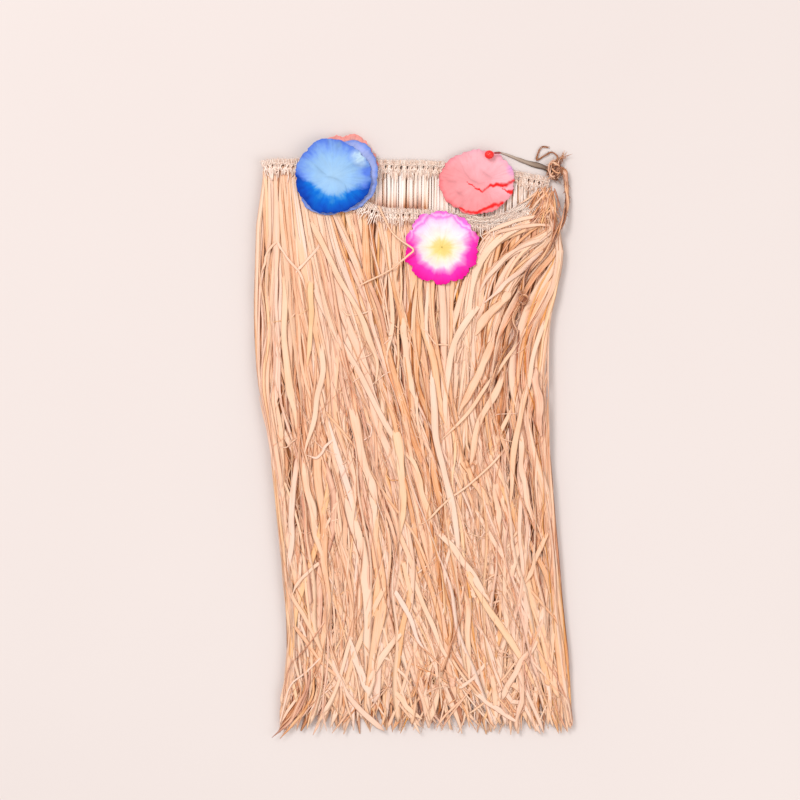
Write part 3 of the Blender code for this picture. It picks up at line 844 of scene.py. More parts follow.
# Strands that have come loose from the rest lie across them, more and finer towards the hem, where
# they spread and bend every way.
CROSS_WIDE = (2.6, 9.0, 4.6)
HEM_WIDE = (2.0, 7.0, 3.6)
HEM_NARROW = (1.0, 2.8, 1.7)
layer_piece(
    "crossing_strands",
    Layer(sweep, low=8.6, high=10.0, drift=95, wander=20, kink=9),
    Batch(70, CROSS_WIDE, 0.6, seed=401, tone=(0.4, 1.0), start=(0.28, 0.75), stop=(0.72, 1.0)),
    Batch(70, NARROW, 0.4, seed=402, tone=(0.35, 1.0), start=(0.25, 0.8), stop=(0.7, 1.0)),
    section=PLEAT,
)
layer_piece(
    "hem_strands",
    Layer(sweep, low=8.0, high=10.6, drift=260, wander=20, kink=10),
    Batch(50, HEM_WIDE, 0.5, seed=451, tone=(0.35, 1.0), stations=20, start=(0.7, 0.9)),
    Batch(60, HEM_NARROW, 0.4, seed=452, tone=(0.3, 1.0), stations=20, start=(0.7, 0.92)),
    section=PLEAT,
)
layer_piece(
    "fine_fibres",
    Layer(sweep, low=8.6, high=10.4, drift=130, wander=22, kink=16),
    Batch(130, FINE, 0.3, seed=501, tone=(0.45, 1.0), stations=20, start=(0.05, 0.85), stop=(0.4, 1.0)),
    Batch(160, FINE, 0.3, seed=502, tone=(0.45, 1.0), stations=20, start=(0.45, 0.9), stop=(0.8, 1.0)),
    section=THREAD,
)

KINK_RUNS = 4
KINK_STEPS = 28
KINK_TURNS = (0.1, 0.2, 0.3, 0.9)
KINK_PLACES = (0.18, 0.95)
KINK_RUN = (5, 15)
KINK_MARGIN = 12
KINK_INSIDE = 4
KINK_HIGH = 9.6
KINK_FEWEST = 12
KINK_WIDE = (0.5, 1.8, 0.8)


def kinked_bits(count, seed):
    """Thin split bits that lie on the rest, bent sharply once or twice where they were creased."""
    rng = random.Random(seed)
    found = []
    for _ in range(count):
        share = rng.uniform(*KINK_PLACES)
        middle = rng.uniform(sweep.middles[0] + KINK_MARGIN, sweep.middles[-1] - KINK_MARGIN)
        start = sweep.at(middle, share, 0)
        heading = rng.choice((-1, 1)) * rng.uniform(0.2, 1.2) - math.pi / 2
        corners = [start]
        for _ in range(KINK_RUNS):
            step = rng.uniform(*KINK_RUN)
            corners.append(corners[-1] + towards(heading) * step)
            heading += rng.choice((-1, 1)) * rng.choice(KINK_TURNS)
        points = []
        for place in spread(corners, KINK_STEPS):
            left, right = at_row(place.y, "left") + KINK_INSIDE, at_row(place.y, "right") - KINK_INSIDE
            if left < place.x < right and place.y > ROWS[-1].y:
                lifted = (KINK_HIGH + 0.8 * sway(share * 9, len(points) / 7)) * at_row(place.y, "loft")
                points.append(Vector((place.x, place.y, lifted)))
        if len(points) > KINK_FEWEST:
            wide = rng.triangular(*KINK_WIDE)
            shade, own = rng.uniform(0.5, 1.05), rng.random() * 50
            points = spread(points, KINK_STEPS)
            found.append(strand(points, wide, 0.35, shade, roll=0.8, tip=0.2, root=0.3, seed=own))
    return found


strand_piece("kinked_bits", kinked_bits(80, 9), strand_material)

# Single strands that catch the eye in the photo: broad ribbons of raffia and ones that cross the rest.
# Each is one loose strand with its width, its tone and the points that it passes, listed one by one.
Ribbon = namedtuple("Ribbon", "wide tone points")
RIBBON_STEPS = 36
RIBBON_END = 6
RIBBON_HIGH = 9.9
RIBBON_STRAY = 2.4
RIBBONS = (
    Ribbon(11.0, 1.10, ((-60, -42), (-54, -71), (-47, -98), (-42, -128), (-39, -165), (-35, -216))),
    Ribbon(6.4, 0.95, ((-113, 150), (-112, 128), (-112, 97), (-111, 67), (-108, 42), (-104, 23), (-101, 5))),
    Ribbon(5.2, 0.90, ((-81, 88), (-80, 66), (-81, 49), (-85, 27), (-91, 0), (-95, -14))),
    Ribbon(5.0, 0.90, ((-90, 140), (-90, 110), (-91, 80), (-92, 62))),
    Ribbon(7.0, 1.00, ((-36, -40), (-36, -60), (-37, -80), (-36, -104))),
    Ribbon(5.0, 0.80, ((-100, -10), (-103, -24), (-105, -54), (-107, -85), (-108, -124))),
    Ribbon(7.4, 0.85, ((-98, -14), (-95, -32), (-89, -58), (-84, -85), (-80, -104))),
    Ribbon(3.0, 0.90, ((-80, -104), (-90, -113), (-100, -124), (-106, -134))),
    Ribbon(2.4, 0.85, ((-62, -48), (-70, -62), (-78, -78), (-84, -92))),
    Ribbon(2.6, 0.90, ((-68, 2), (-77, -8), (-85, -16), (-92, -14))),
    Ribbon(8.0, 0.70, ((84, 128), (75, 118), (66, 110), (57, 99), (50, 89))),
    Ribbon(7.6, 0.60, ((68, 86), (62, 74), (57, 60), (49, 45), (42, 30), (38, 20))),
    Ribbon(5.6, 0.95, ((64, 127), (49, 108), (37, 89), (31, 71), (28, 49), (25, 23), (24, -2))),
    Ribbon(6.6, 0.95, ((-11, 110), (-9, 95), (-6, 67), (-2, 45), (3, 30))),
    Ribbon(4.4, 0.90, ((114, 106), (104, 79), (97, 49), (91, 23), (83, -6))),
    Ribbon(7.0, 0.45, ((103, 62), (106, 40), (107, 20), (109, 2))),
    Ribbon(4.6, 0.85, ((62, -8), (66, -18), (72, -28), (78, -38), (81, -50))),
    Ribbon(7.0, 0.80, ((69, -30), (70, -50), (71, -70), (73, -92))),
    Ribbon(5.2, 0.85, ((91, 8), (93, -27), (97, -54), (103, -76))),
    Ribbon(4.4, 0.60, ((116, -78), (106, -98), (99, -115), (93, -128))),
    Ribbon(6.6, 0.75, ((91, -86), (85, -107), (78, -130))),
    Ribbon(4.6, 0.95, ((-13, -6), (-2, -19), (5, -36), (9, -54), (17, -76))),
    Ribbon(6.0, 0.95, ((16, -74), (26, -86), (35, -97), (46, -113), (58, -130), (66, -142))),
    Ribbon(2.0, 0.90, ((80, -5), (54, -34), (31, -50), (11, -69), (-4, -78))),
    Ribbon(2.4, 0.80, ((91, -76), (84, -86), (77, -96), (72, -103))),
    Ribbon(6.0, 1.00, ((-60, -166), (-53, -184), (-45, -210), (-36, -227))),
    Ribbon(4.4, 1.00, ((-8, -110), (2, -131), (13, -157), (24, -182), (36, -201))),
    Ribbon(4.0, 0.95, ((-21, -125), (-8, -147), (0, -166), (9, -184))),
    Ribbon(2.6, 1.00, ((-31, -184), (-14, -199), (-2, -214))),
    Ribbon(5.0, 1.00, ((-21, -212), (-6, -232), (6, -242))),
    Ribbon(8.4, 0.75, ((-57, 34), (-52, 12), (-45, -14), (-38, -40), (-32, -61))),
    Ribbon(7.6, 1.00, ((-16, 12), (-13, -14), (-11, -44), (-12, -66), (-14, -87))),
    Ribbon(6.4, 0.62, ((38, -14), (46, -27), (54, -40), (61, -51), (68, -62))),
    Ribbon(5.4, 0.75, ((80, 62), (66, 34), (56, 14), (50, -8), (47, -30))),
    Ribbon(5.0, 0.70, ((100, 60), (94, 30), (88, -1), (84, -30), (82, -58))),
    Ribbon(6.0, 0.85, ((15, 60), (16, 30), (18, 2), (24, -24), (30, -50), (36, -84), (38, -112))),
    Ribbon(3.6, 0.90, ((44, -46), (60, -74), (73, -96), (91, -124), (106, -148), (118, -182))),
    Ribbon(6.2, 0.85, ((36, -100), (48, -120), (60, -140), (78, -168), (94, -194), (104, -214))),
    Ribbon(5.2, 0.85, ((42, -122), (44, -139), (46, -175), (47, -213))),
    Ribbon(3.4, 0.85, ((91, 86), (73, 61), (56, 37), (39, 16), (22, -1))),
    Ribbon(3.4, 0.85, ((124, 192), (106, 191.6), (87, 188), (70, 182), (56, 175))),
    Ribbon(3.0, 0.65, ((119, 184), (104, 184.5), (89, 182), (76, 179), (66, 174))),
    Ribbon(3.8, 0.80, ((113, 173), (100, 169), (89, 163.5), (75, 154), (64, 141), (55, 126))),
    Ribbon(4.2, 0.75, ((112, 164), (103, 156), (94, 147), (82, 137), (70, 127), (60, 117))),
    Ribbon(2.6, 0.90, ((-80, 172), (-88, 160.5), (-95, 152), (-105, 140))),
    Ribbon(2.2, 0.75, ((-117, 174), (-123, 165), (-128, 156), (-132, 140))),
    Ribbon(2.4, 0.85, ((-119, 173), (-113, 161), (-105, 150), (-98, 140), (-94, 128))),
    Ribbon(5.6, 0.80, ((-91, 191), (-73, 153), (-54, 120), (-41, 90), (-32, 68), (-34, 47))),
    Ribbon(5.4, 0.85, ((-93, 152), (-81, 116), (-65, 85), (-48, 58), (-26, 16), (3, -35))),
    Ribbon(5.0, 0.80, ((48, -216), (62, -226), (76, -236), (90, -246))),
    Ribbon(3.0, 0.30, ((-97, -190), (-95, -214), (-104, -238), (-121, -256))),
    Ribbon(2.2, 0.20, ((-90, -194), (-94, -222), (-106, -243), (-123, -258))),
    Ribbon(2.6, 0.40, ((-86, -200), (-90, -224), (-103, -244), (-116, -259))),
    Ribbon(1.6, 0.35, ((-101, -198), (-100, -222), (-108, -240), (-118, -252))),
)


def ribbon_strands():
    """The ribbons, lifted a little off each other, with both ends bent down into the rest."""
    found = []
    for i, ribbon in enumerate(RIBBONS):
        line = flat_line(ribbon.points, RIBBON_STEPS)
        lifted = []
        for k, p in enumerate(line):
            past = max(0.0, (k + RIBBON_END + 1 - RIBBON_STEPS) / RIBBON_END)
            high = RIBBON_HIGH + 0.4 * (i % 4) - 1.4 * past
            sunk = 2.6 * max(0.0, 1 - k / RIBBON_END)
            rise = high * at_row(p.y, "loft") + 0.6 * sway(i, k / 6) - sunk
            lifted.append(Vector((p.x + RIBBON_STRAY * sway(i + 30, k / 9), p.y, rise)))
        found.append(strand(lifted, ribbon.wide, 0.7, ribbon.tone, roll=0.7, tip=0.3, root=0.3, seed=i * 7))
    return found


strand_piece("loose_ribbons", ribbon_strands(), strand_material, section=PLEAT)

CORNER_STEPS = 14
CORNER_X = (106, 120)
CORNER_Y = (200, 219)
CORNER_FAN = (-140, -62)
CORNER_REACH = (8, 34)
CORNER_WIDE = (0.4, 2.4, 0.8)
CORNER_HIGH = 8.8


def corner_frays(count, seed):
    """Short brown ends that fan out where the front band's right end is cut."""
    rng = random.Random(seed)
    found = []
    for _ in range(count):
        point = Vector((rng.uniform(*CORNER_X), rng.uniform(*CORNER_Y), 0))
        heading = math.radians(rng.uniform(*CORNER_FAN))
        bend = rng.uniform(-0.6, 0.4)
        reach = rng.uniform(*CORNER_REACH)
        points = []
        for t in shares(CORNER_STEPS):
            point = point + towards(heading + bend * t) * (reach / (CORNER_STEPS - 1))
            arch = 2.2 * math.sin(math.pi * min(1.0, t + 0.2))
            points.append(Vector((point.x, point.y, CORNER_HIGH + arch)))
        shade = rng.uniform(0.1, 0.65)
        wide = rng.triangular(*CORNER_WIDE)
        own = rng.random() * 60
        found.append(strand(points, wide, 0.4, shade, roll=1.0, tip=0.4, root=0.6, seed=own))
    return found


strand_piece("corner_frays", corner_frays(80, 15), strand_material)

# The waistband: bundles of raffia folded over a waist cord and held by a twined row below it.
# Every hitch is a few strands arched over the cord, and short ends make the lip pale and fuzzy.
BAND_THICK = 3.6
HITCH_PITCH = 4.6
HITCH_PLIES = 6
HITCH_WIDE = 1.05
HITCH_THICK = 0.5
HITCH_TAILS = (1, 13, 2)
HITCH_SQUEEZE = (0.6, 0.85)
PLY_SPACING = 0.18
PINCH_FALL = 6.0
TAIL_STEPS = 5
ARCH_STEPS = 13
TWINE_STEPS = 5
TWINE_REACH = 0.6
FUZZ_STEPS = 6
FUZZ_LONG = (0.8, 2.6)
WISP_STEPS = 8
WISP_LONG = (4, 13)
BAND_STOPS = ((0.0, 150, 100, 80), (0.3, 222, 182, 160), (0.6, 250, 222, 204), (1.0, 255, 242, 232))
band_look = {"streaks": 0.35, "patches": 0.3, "roughness": 0.75, "splits": 0.0}
band_material = raffia_material("raffia_band", BAND_STOPS, **band_look)


def hitches(band, z, seed):
    """Arches of thin strands over the waist cord, pinched below it, with a dark hole beside each."""
    rng = random.Random(seed)
    count = round(length_of(band) / HITCH_PITCH)
    found = []
    for i in range(count):
        middle = (i + 0.5 + rng.uniform(-0.12, 0.12)) / count
        squeeze = rng.uniform(*HITCH_SQUEEZE)
        for ply in range(HITCH_PLIES):
            share = (ply - (HITCH_PLIES - 1) / 2) * PLY_SPACING / count
            own = rng.random() * 90
            high = rng.uniform(-0.5, 0.4)
            tail = rng.triangular(*HITCH_TAILS)
            lean = rng.uniform(-0.3, 0.3) / count
            points = []
            for k in range(TAIL_STEPS + ARCH_STEPS + 1):
                if k < TAIL_STEPS:
                    far = 1 - k / TAIL_STEPS
                    turn, fall = 0.0, BAND_TALL + tail * far
                else:
                    far = 0.0
                    turn = math.pi * (k - TAIL_STEPS) / ARCH_STEPS
                    fall = (1 - math.sin(turn)) * BAND_TALL
                pinch = 1 - squeeze * math.exp(-((fall - PINCH_FALL) ** 2) / 2.4)
                spot = middle + share * pinch + lean * far
                point = below_band(band, min(max(spot, 0.0), 1.0), high - BAND_TALL / 2 + fall)
                bulge = BAND_THICK / 2 * math.cos(turn) * (0.7 + 0.3 * pinch)
                points.append(Vector((point.x, point.y, z + bulge)))
            shade = rng.uniform(0.45, 0.95)
            line = strand(points, HITCH_WIDE, HITCH_THICK, shade, roll=0.25, tip=0.01, root=0.3, seed=own)
            found.append([s._replace(tone=s.tone - max(0.0, 0.2 - 0.04 * k)) for k, s in enumerate(line)])
    return found


def twining(band, z):
    """Two strands that twist round each other along the band, a half turn for each hitch."""
    found = []
    count = 2 * round(length_of(band) / HITCH_PITCH)
    for ply in range(2):
        points = []
        for share in shares(count * TWINE_STEPS + 1):
            turn = math.pi * (count / 2 * share + ply)
            point = below_band(band, share, TWINE_REACH * (math.cos(turn) - 1))
            points.append(Vector((point.x, point.y, z + BAND_THICK / 2 + 0.5 * math.sin(turn))))
        found.append(strand(points, 0.6, 0.5, 0.8, tip=0.01, seed=ply))
    return found


def lip_hairs(band, z, count, seed):
    """Fuzz that stands out of the band's lip, mostly along the strands."""
    rng = random.Random(seed)
    found = []
    for _ in range(count):
        share = rng.random()
        start = below_band(band, share, rng.triangular(-BAND_TALL / 2, 0, -BAND_TALL / 2))
        heading = rng.gauss(0, 0.6)
        i = min(round(share * (BAND_STEPS - 1)), BAND_STEPS - 2)
        direction = (band[i + 1] - band[i]).normalized()
        out = Vector((-direction.y, direction.x, 0)) * math.cos(heading) + direction * math.sin(heading)
        length = rng.uniform(*FUZZ_LONG)
        rise = z + rng.uniform(-0.2, 0.4) * BAND_THICK
        bend = rng.uniform(-0.5, 0.5)
        side = Vector((-out.y, out.x, 0))
        foot = Vector((start.x, start.y, rise))
        points = [foot + out * (length * t) + side * (bend * length * t * t) for t in shares(FUZZ_STEPS)]
        found.append(strand(points, 0.26, 0.18, rng.uniform(0.6, 1.0), tip=0.5, seed=rng.random() * 40))
    return found


def band_wisps(band, z, first, count, seed):
    """Fine fibres that lie along the band and soften its hitches."""
    rng = random.Random(seed)
    total = length_of(band)
    found = []
    for _ in range(count):
        share = rng.uniform(first, 0.98)
        reach = rng.uniform(*WISP_LONG) / total
        offset, drift = rng.uniform(-BAND_TALL / 2, BAND_TALL / 2 + 1), rng.uniform(-3, 3)
        points = []
        for t in shares(WISP_STEPS):
            spot = below_band(band, min(share + reach * t, 1.0), offset + drift * t * t)
            points.append(Vector((spot.x, spot.y, z + BAND_THICK * (0.5 + 0.12 * math.sin(math.pi * t)))))
        found.append(strand(points, 0.36, 0.25, rng.uniform(0.5, 1.1), tip=0.4, seed=rng.random() * 50))
    return found


arches = hitches(back_band, BACK_BAND_Z, 1) + hitches(front_band, FRONT_BAND_Z, 2)
strand_piece("waistband_hitches", arches, band_material, ["waistband"])
strand_piece("back_twining", twining(back_band, BACK_BAND_Z), band_material)
strand_piece("front_twining", twining(front_band, FRONT_BAND_Z), band_material)
fuzz = lip_hairs(back_band, BACK_BAND_Z, 700, 5) + lip_hairs(front_band, FRONT_BAND_Z, 1000, 6)
strand_piece("band_fuzz", fuzz, band_material, section=THREAD)
wisps = band_wisps(front_band, FRONT_BAND_Z, 0.6, 420, 7)
wisps += band_wisps(back_band, BACK_BAND_Z, 0.02, 120, 8)
strand_piece("band_wisps", wisps, band_material, section=THREAD)

# The fabric flowers: ruffled rounds of thin dyed cloth, creased from the middle where a stitch holds them.
# Two blue ones lie on each other, a coral one is folded behind them, one lies at the right and a pink one
# hangs below the band.
FLOWER_FIELDS = "name x y z wide tall petals lift lean lean_from lower scallop ragged overlap stain"
Flower = namedtuple("Flower", FLOWER_FIELDS)
NO_STAIN = (0, 0, 0.1)
BLUE_STAIN = (-47, 243, 11.0)
CORAL_STAIN = (88, 234, 11.0)
FLOWERS = (
    Flower("blue_flower_back", -67, 225, 9.5, 33.5, 32.0, 9, 1.5, 0.16, 236, 1.0, 0.05, 0.03, 0.3, NO_STAIN),
    Flower("blue_flower", -71, 226, 12.0, 33.0, 31.8, 8, 1.5, 0.16, 236, 1.0, 0.05, 0.035, 0.5, BLUE_STAIN),
    Flower("coral_flower", 54, 222, 7.0, 33.0, 29.0, 9, 1.3, 0.07, 194, 1.0, 0.04, 0.05, 0.3, CORAL_STAIN),
    Flower("coral_flower_folded", -60, 231, 4.2, 29.0, 33.0, 8, 0.3, 0.0, 0, 0.12, 0.10, 0.07, 0.2, NO_STAIN),
    Flower("pink_flower", 23, 165, 9.9, 33.0, 31.5, 10, 1.8, 0.0, 0, 1.0, 0.09, 0.06, 0.9, NO_STAIN),
)
CORAL_FLOOR = 5.0
Tear = namedtuple("Tear", "left right points")
CORAL_TEARS = (
    Tear(0.7, 2.6, ((45, 223), (51.5, 218), (58, 214), (65, 219.5), (72, 220.5), (78, 219.5), (87, 224))),
    Tear(0.3, 2.4, ((75, 217), (79, 215), (83, 214), (87, 214.5))),
    Tear(1.4, 2.6, ((38, 200), (44, 197), (52, 195.2), (57, 197), (62, 200), (68, 202.5), (77, 204))),
)
TEAR_RAGGED = 0.8
FLAP_LIFT = 1.3
FLAP_LONG = 12
CREASE_DEEP = 0.5
CREASE_SHARP = 0.9
CREASE_SOFT = 2.4
CORAL_CREASES = (
    ((36, 244), (39.6, 238.3), (41.5, 234.5), (43, 230.8), (48, 224.3), (55.5, 220.6), (61.1, 221.5)),
    ((55.5, 233.5), (61.1, 229.0), (68.0, 225.0)),
    ((34.0, 215.5), (38.0, 212.0), (43.0, 210.0)),
    ((26.0, 224.0), (31.0, 222.5), (37.0, 222.0)),
)
BLUE_CREASES = (
    ((-79, 226.5), (-76, 225.6), (-72, 225.2), (-66, 223.2), (-61, 220)),
    ((-87, 236.5), (-80, 230), (-75.5, 226.8)),
    ((-55, 236.6), (-47, 235.4), (-39, 234.6)),
    ((-61, 221), (-58.5, 214), (-57, 205)),
)
CREASES = {"coral_flower": CORAL_CREASES, "blue_flower": BLUE_CREASES}
# How strong the painted shade in the creases is.
CREASE_SHADE = 1.8
CRUMPLE_COARSE = 7
CRUMPLE_FINE = 3
CRUMPLE_RISE = 1.2
FINE_PLEAT = 0.12
BACK_PEEKS = (math.radians(228), math.radians(42))
PEEK_REACH = 0.17
RIM_SWAY = 0.08
PETAL_RINGS = 30
PETAL_SPOKES = 160
CLOTH = 0.35


def petal_height(spec, x, y):
    """The underside of a flower at x and y."""
    right, ahead = (x - spec.x) / spec.wide, (y - spec.y) / spec.tall
    turn, out = math.atan2(ahead, right), math.hypot(right, ahead)
    wave = 0.5 + 0.5 * math.cos(spec.petals * turn)
    return spec.z + spec.lift * wave * out**2 - spec.lean * max(0.0, y - spec.lean_from)


def above(line, x, y):
    """How far y lies above a line of points at this x, and the share of the line's width there."""
    first, last = line[0][0], line[-1][0]
    if not first <= x <= last:
        return None, 0.0
    for a, b in zip(line, line[1:]):
        if x <= b[0]:
            height = a[1] + (b[1] - a[1]) * (x - a[0]) / (b[0] - a[0])
            return y - height, (x - first) / (last - first)
    return None, 0.0


def crease_depths(spec, x, y):
    """How deep this point lies in each of the flower's creases that it is in."""
    for line in CREASES.get(spec.name, ()):
        up, share = above(line, x, y)
        if up is not None:
            deep = math.exp(-abs(up) / (CREASE_SHARP if up > 0 else CREASE_SOFT))
            yield deep * max(0.0, math.sin(math.pi * share)) ** 0.5


def coral_tear(x, y):
    """How deep this point lies in the coral flower's tears, and how far the flap above the first lifts it."""
    deep = lift = 0.0
    jag = 1.6 * noise.noise(Vector((x / 3, y / 9, 0))) + 0.8 * noise.noise(Vector((x, y / 5, 4)))
    for tear in CORAL_TEARS:
        up, share = above(tear.points, x, y)
        if up is not None:
            width = tear.left + (tear.right - tear.left) * min(1.0, share * 1.5)
            deep = max(deep, min(1.0, 1.2 - abs(up + TEAR_RAGGED * jag + 0.6) / width))
            if tear is CORAL_TEARS[0]:
                flap = min(max(up / 0.9 + 0.5, 0.0), 1.0) * max(0.0, 1 - max(0.0, up) / FLAP_LONG)
                lift = FLAP_LIFT * flap * min(1.0, share * 5)
    return deep, lift


def flower(spec, material, seed):
    """A round of cloth with a scalloped, ruffled rim and creases that run out from its middle."""
    bm = bmesh.new()
    start = 1 / PETAL_RINGS
    bmesh.ops.create_circle(bm, cap_ends=True, cap_tris=True, segments=PETAL_SPOKES, radius=start)
    rim = [e for e in bm.edges if e.is_boundary]
    for ring_step in range(2, PETAL_RINGS + 1):
        added = bmesh.ops.extrude_edge_only(bm, edges=rim)["geom"]
        for v in added:
            if isinstance(v, bmesh.types.BMVert):
                v.co *= ring_step / (ring_step - 1)
        rim = [e for e in added if isinstance(e, bmesh.types.BMEdge) and e.is_boundary]
    bloom_of = bm.verts.layers.float_vector.new("bloom")
    lobe_of, fold_of, stain_of, pleat_shade_of = (
        bm.verts.layers.float.new(name) for name in ("lobe", "fold", "stain", "pleat")
    )
    for v in bm.verts:
        turn, out = math.atan2(v.co.y, v.co.x), v.co.length
        facing = towards(turn)
        v[bloom_of] = facing + UPWARDS * out
        around = facing + UPWARDS * (seed * 3.3)
        phase = (spec.petals * turn / (2 * math.pi) + 0.3 * noise.noise(around * 2)) % 1.0
        lobe = math.sin(math.pi * phase) ** 0.6
        v[lobe_of] = lobe
        reach = 1 - spec.scallop * (1 - lobe) * out**2 + RIM_SWAY * noise.noise(around * 1.3) * out
        reach += spec.ragged * noise.noise(around * 12) * out**3
        if spec.name == "blue_flower_back":
            reach += PEEK_REACH * max(max(0.0, math.cos(turn - peek)) ** 8 for peek in BACK_PEEKS) * out**2
        x = spec.x + v.co.x * spec.wide * reach
        ahead = v.co.y * spec.tall * reach
        y = spec.y + (ahead if ahead > 0 else ahead * spec.lower)
        z = petal_height(spec, x, y) + spec.overlap * phase * out**2
        crease = noise.noise(facing * 4 + UPWARDS * (seed + out * 1.6))
        crumple = noise.noise(Vector((x / CRUMPLE_COARSE, y / CRUMPLE_COARSE, seed)))
        crumple += 0.5 * noise.noise(Vector((x / CRUMPLE_FINE, y / CRUMPLE_FINE, seed)))
        z += max(-0.4, crease) * min(1.0, out * 1.6) + CRUMPLE_RISE * crumple * (0.25 + 0.75 * out) + 0.3
        fine = noise.noise(facing * 7 + UPWARDS * (seed + 9 + out))
        near_pleat = (FINE_PLEAT - abs(fine)) / FINE_PLEAT
        # Painted shade along the fine pleats, and below along the creases; the petal material darkens by it.
        v[pleat_shade_of] = min(1.0, max(0.0, 3.0 * abs(crumple) ** 0.5 * near_pleat)) * out
        v[stain_of] = max(0.0, 1 - math.hypot(x - spec.stain[0], y - spec.stain[1]) / spec.stain[2])
        for deep in crease_depths(spec, x, y):
            v[pleat_shade_of] = max(v[pleat_shade_of], CREASE_SHADE * deep)
            z -= CREASE_DEEP * deep
        if spec.name == "coral_flower":
            v[fold_of], lift = coral_tear(x, y)
            z = max(z + lift, CORAL_FLOOR)
        v.co = Vector((x, y, z)) * MM
    bmesh.ops.recalc_face_normals(bm, faces=bm.faces)
    if sum(f.normal.z for f in bm.faces) < 0:
        bmesh.ops.reverse_faces(bm, faces=bm.faces)
    obj = object_from(bm, spec.name + "_cloth")
    wall = obj.modifiers.new("cloth", "SOLIDIFY")
    wall.thickness = CLOTH * MM
    wall.offset = 1.0
    dressed(obj, material, [spec.name])


# The petals' dye pattern, and the rays that also give their painted light and shade.
dye_inputs = {"Ragged": 0.1, "Lobes": 0.0, "Tilt": 0.0, "Valley": 0.0}
tree, given, put_out = effect_group("petal_dye_and_shading", dye_inputs, ("Out", "Up", "Rays", "Weave", "Mottle"))
petal_dye_and_shading = tree
parts = node(tree, "SeparateXYZ", {0: carried(tree, "bloom", "Vector")}).outputs
ray_out = math_node(tree, "MULTIPLY", parts["Z"], 0.35)
ray_at = node(tree, "CombineXYZ", {"X": parts["X"], "Y": parts["Y"], "Z": ray_out}).outputs[0]
rays = node(tree, "TexNoise", {"Vector": ray_at, "Scale": 5.0, "Detail": 5.0}).outputs[0]
spot = node(tree, "TexCoord").outputs["Object"]
cloth = node(tree, "TexNoise", {"Vector": spot, "Scale": 900.0, "Detail": 2.0}).outputs[0]
mottle = node(tree, "TexNoise", {"Vector": spot, "Scale": 110.0, "Detail": 3.0}).outputs[0]
out = nudge(tree, rays, given["Ragged"], parts["Z"])
out = nudge(tree, mottle, given["Ragged"], out)
lobed = math_node(tree, "MULTIPLY", math_node(tree, "SUBTRACT", carried(tree, "lobe"), 0.7), parts["Z"])
out = math_node(tree, "MULTIPLY_ADD", lobed, given["Lobes"], out)
rays = math_node(tree, "MULTIPLY_ADD", math_node(tree, "SUBTRACT", rays, 0.5), parts["Z"], 0.5)
up = math_node(tree, "MULTIPLY_ADD", parts["X"], given["Tilt"], parts["Y"])
aside = math_node(tree, "MULTIPLY", math_node(tree, "ABSOLUTE", parts["X"]), given["Valley"])
grown = math_node(tree, "POWER", parts["Z"], math_node(tree, "MULTIPLY", given["Valley"], 2.0))
up = math_node(tree, "MULTIPLY", math_node(tree, "SUBTRACT", up, aside), grown)
for name, socket in (("Out", out), ("Up", up), ("Rays", rays), ("Weave", cloth), ("Mottle", mottle)):
    tree.links.new(socket, put_out[name])


# How much the painted shade in the pleats and creases darkens the petals.
PLEAT_SHADE = 0.13


def masked(tree, mask, turn_at, below, over):
    """One colour that turns into another as the mask goes through a range."""
    share = node(tree, "MapRange", {0: mask, 1: turn_at[0], 2: turn_at[1]}).outputs[0]
    return node(tree, "Mix", {0: share, 6: below, 7: over}, data_type="RGBA").outputs[2]


def petal_material(name, stops, spread_of_dye, turn_at=(-0.15, 0.45), fold=None, stain=None):
    """Dyed cloth whose colour runs out from the middle, with other colours towards the waist, and painted
    light and shade on its rays, pleats and creases.
    """
    material, tree, shader = new_material(name, 0.85, Sheen_Weight=0.03, Specular_IOR_Level=0.2)
    lower_stops, upper_stops = stops
    dye = node(tree, "Group", node_tree=petal_dye_and_shading)
    for socket, value in spread_of_dye.items():
        dye.inputs[socket].default_value = value
    lower = ramp(tree, dye.outputs["Out"], lower_stops)
    upper = ramp(tree, dye.outputs["Out"], upper_stops)
    up = nudge(tree, dye.outputs["Mottle"], 0.5, dye.outputs["Up"])
    mixed = masked(tree, up, turn_at, lower, upper)
    if fold:
        blotch = math_node(tree, "MULTIPLY_ADD", dye.outputs["Mottle"], 1.2, 0.4)
        mask = math_node(tree, "MULTIPLY", carried(tree, "fold"), blotch)
        mixed = masked(tree, mask, (0.25, 0.85), mixed, fold)
    if stain:
        blotch = nudge(tree, dye.outputs["Mottle"], 3.0, 1.0)
        mask = math_node(tree, "MULTIPLY", blotch, carried(tree, "stain"))
        mixed = masked(tree, mask, (0.1, 0.6), mixed, stain)
    # Painted light and shade: the colour is brighter and darker along the radial rays and the mottle, and
    # darker in the pleats and creases.
    light = math_node(tree, "MULTIPLY_ADD", dye.outputs["Rays"], 0.26, 0.83)
    light = nudge(tree, dye.outputs["Mottle"], 0.3, light)
    light = math_node(tree, "MULTIPLY_ADD", carried(tree, "pleat"), -PLEAT_SHADE, light)
    shaded = node(tree, "HueSaturation", {"Value": light, "Color": mixed}).outputs[0]
    tree.links.new(shaded, shader.inputs["Base Color"])
    height = math_node(tree, "MULTIPLY_ADD", dye.outputs["Weave"], 0.3, dye.outputs["Rays"])
    bump = node(tree, "Bump", {"Strength": 0.4, "Distance": 0.0006, "Height": height})
    tree.links.new(bump.outputs[0], shader.inputs["Normal"])
    return material


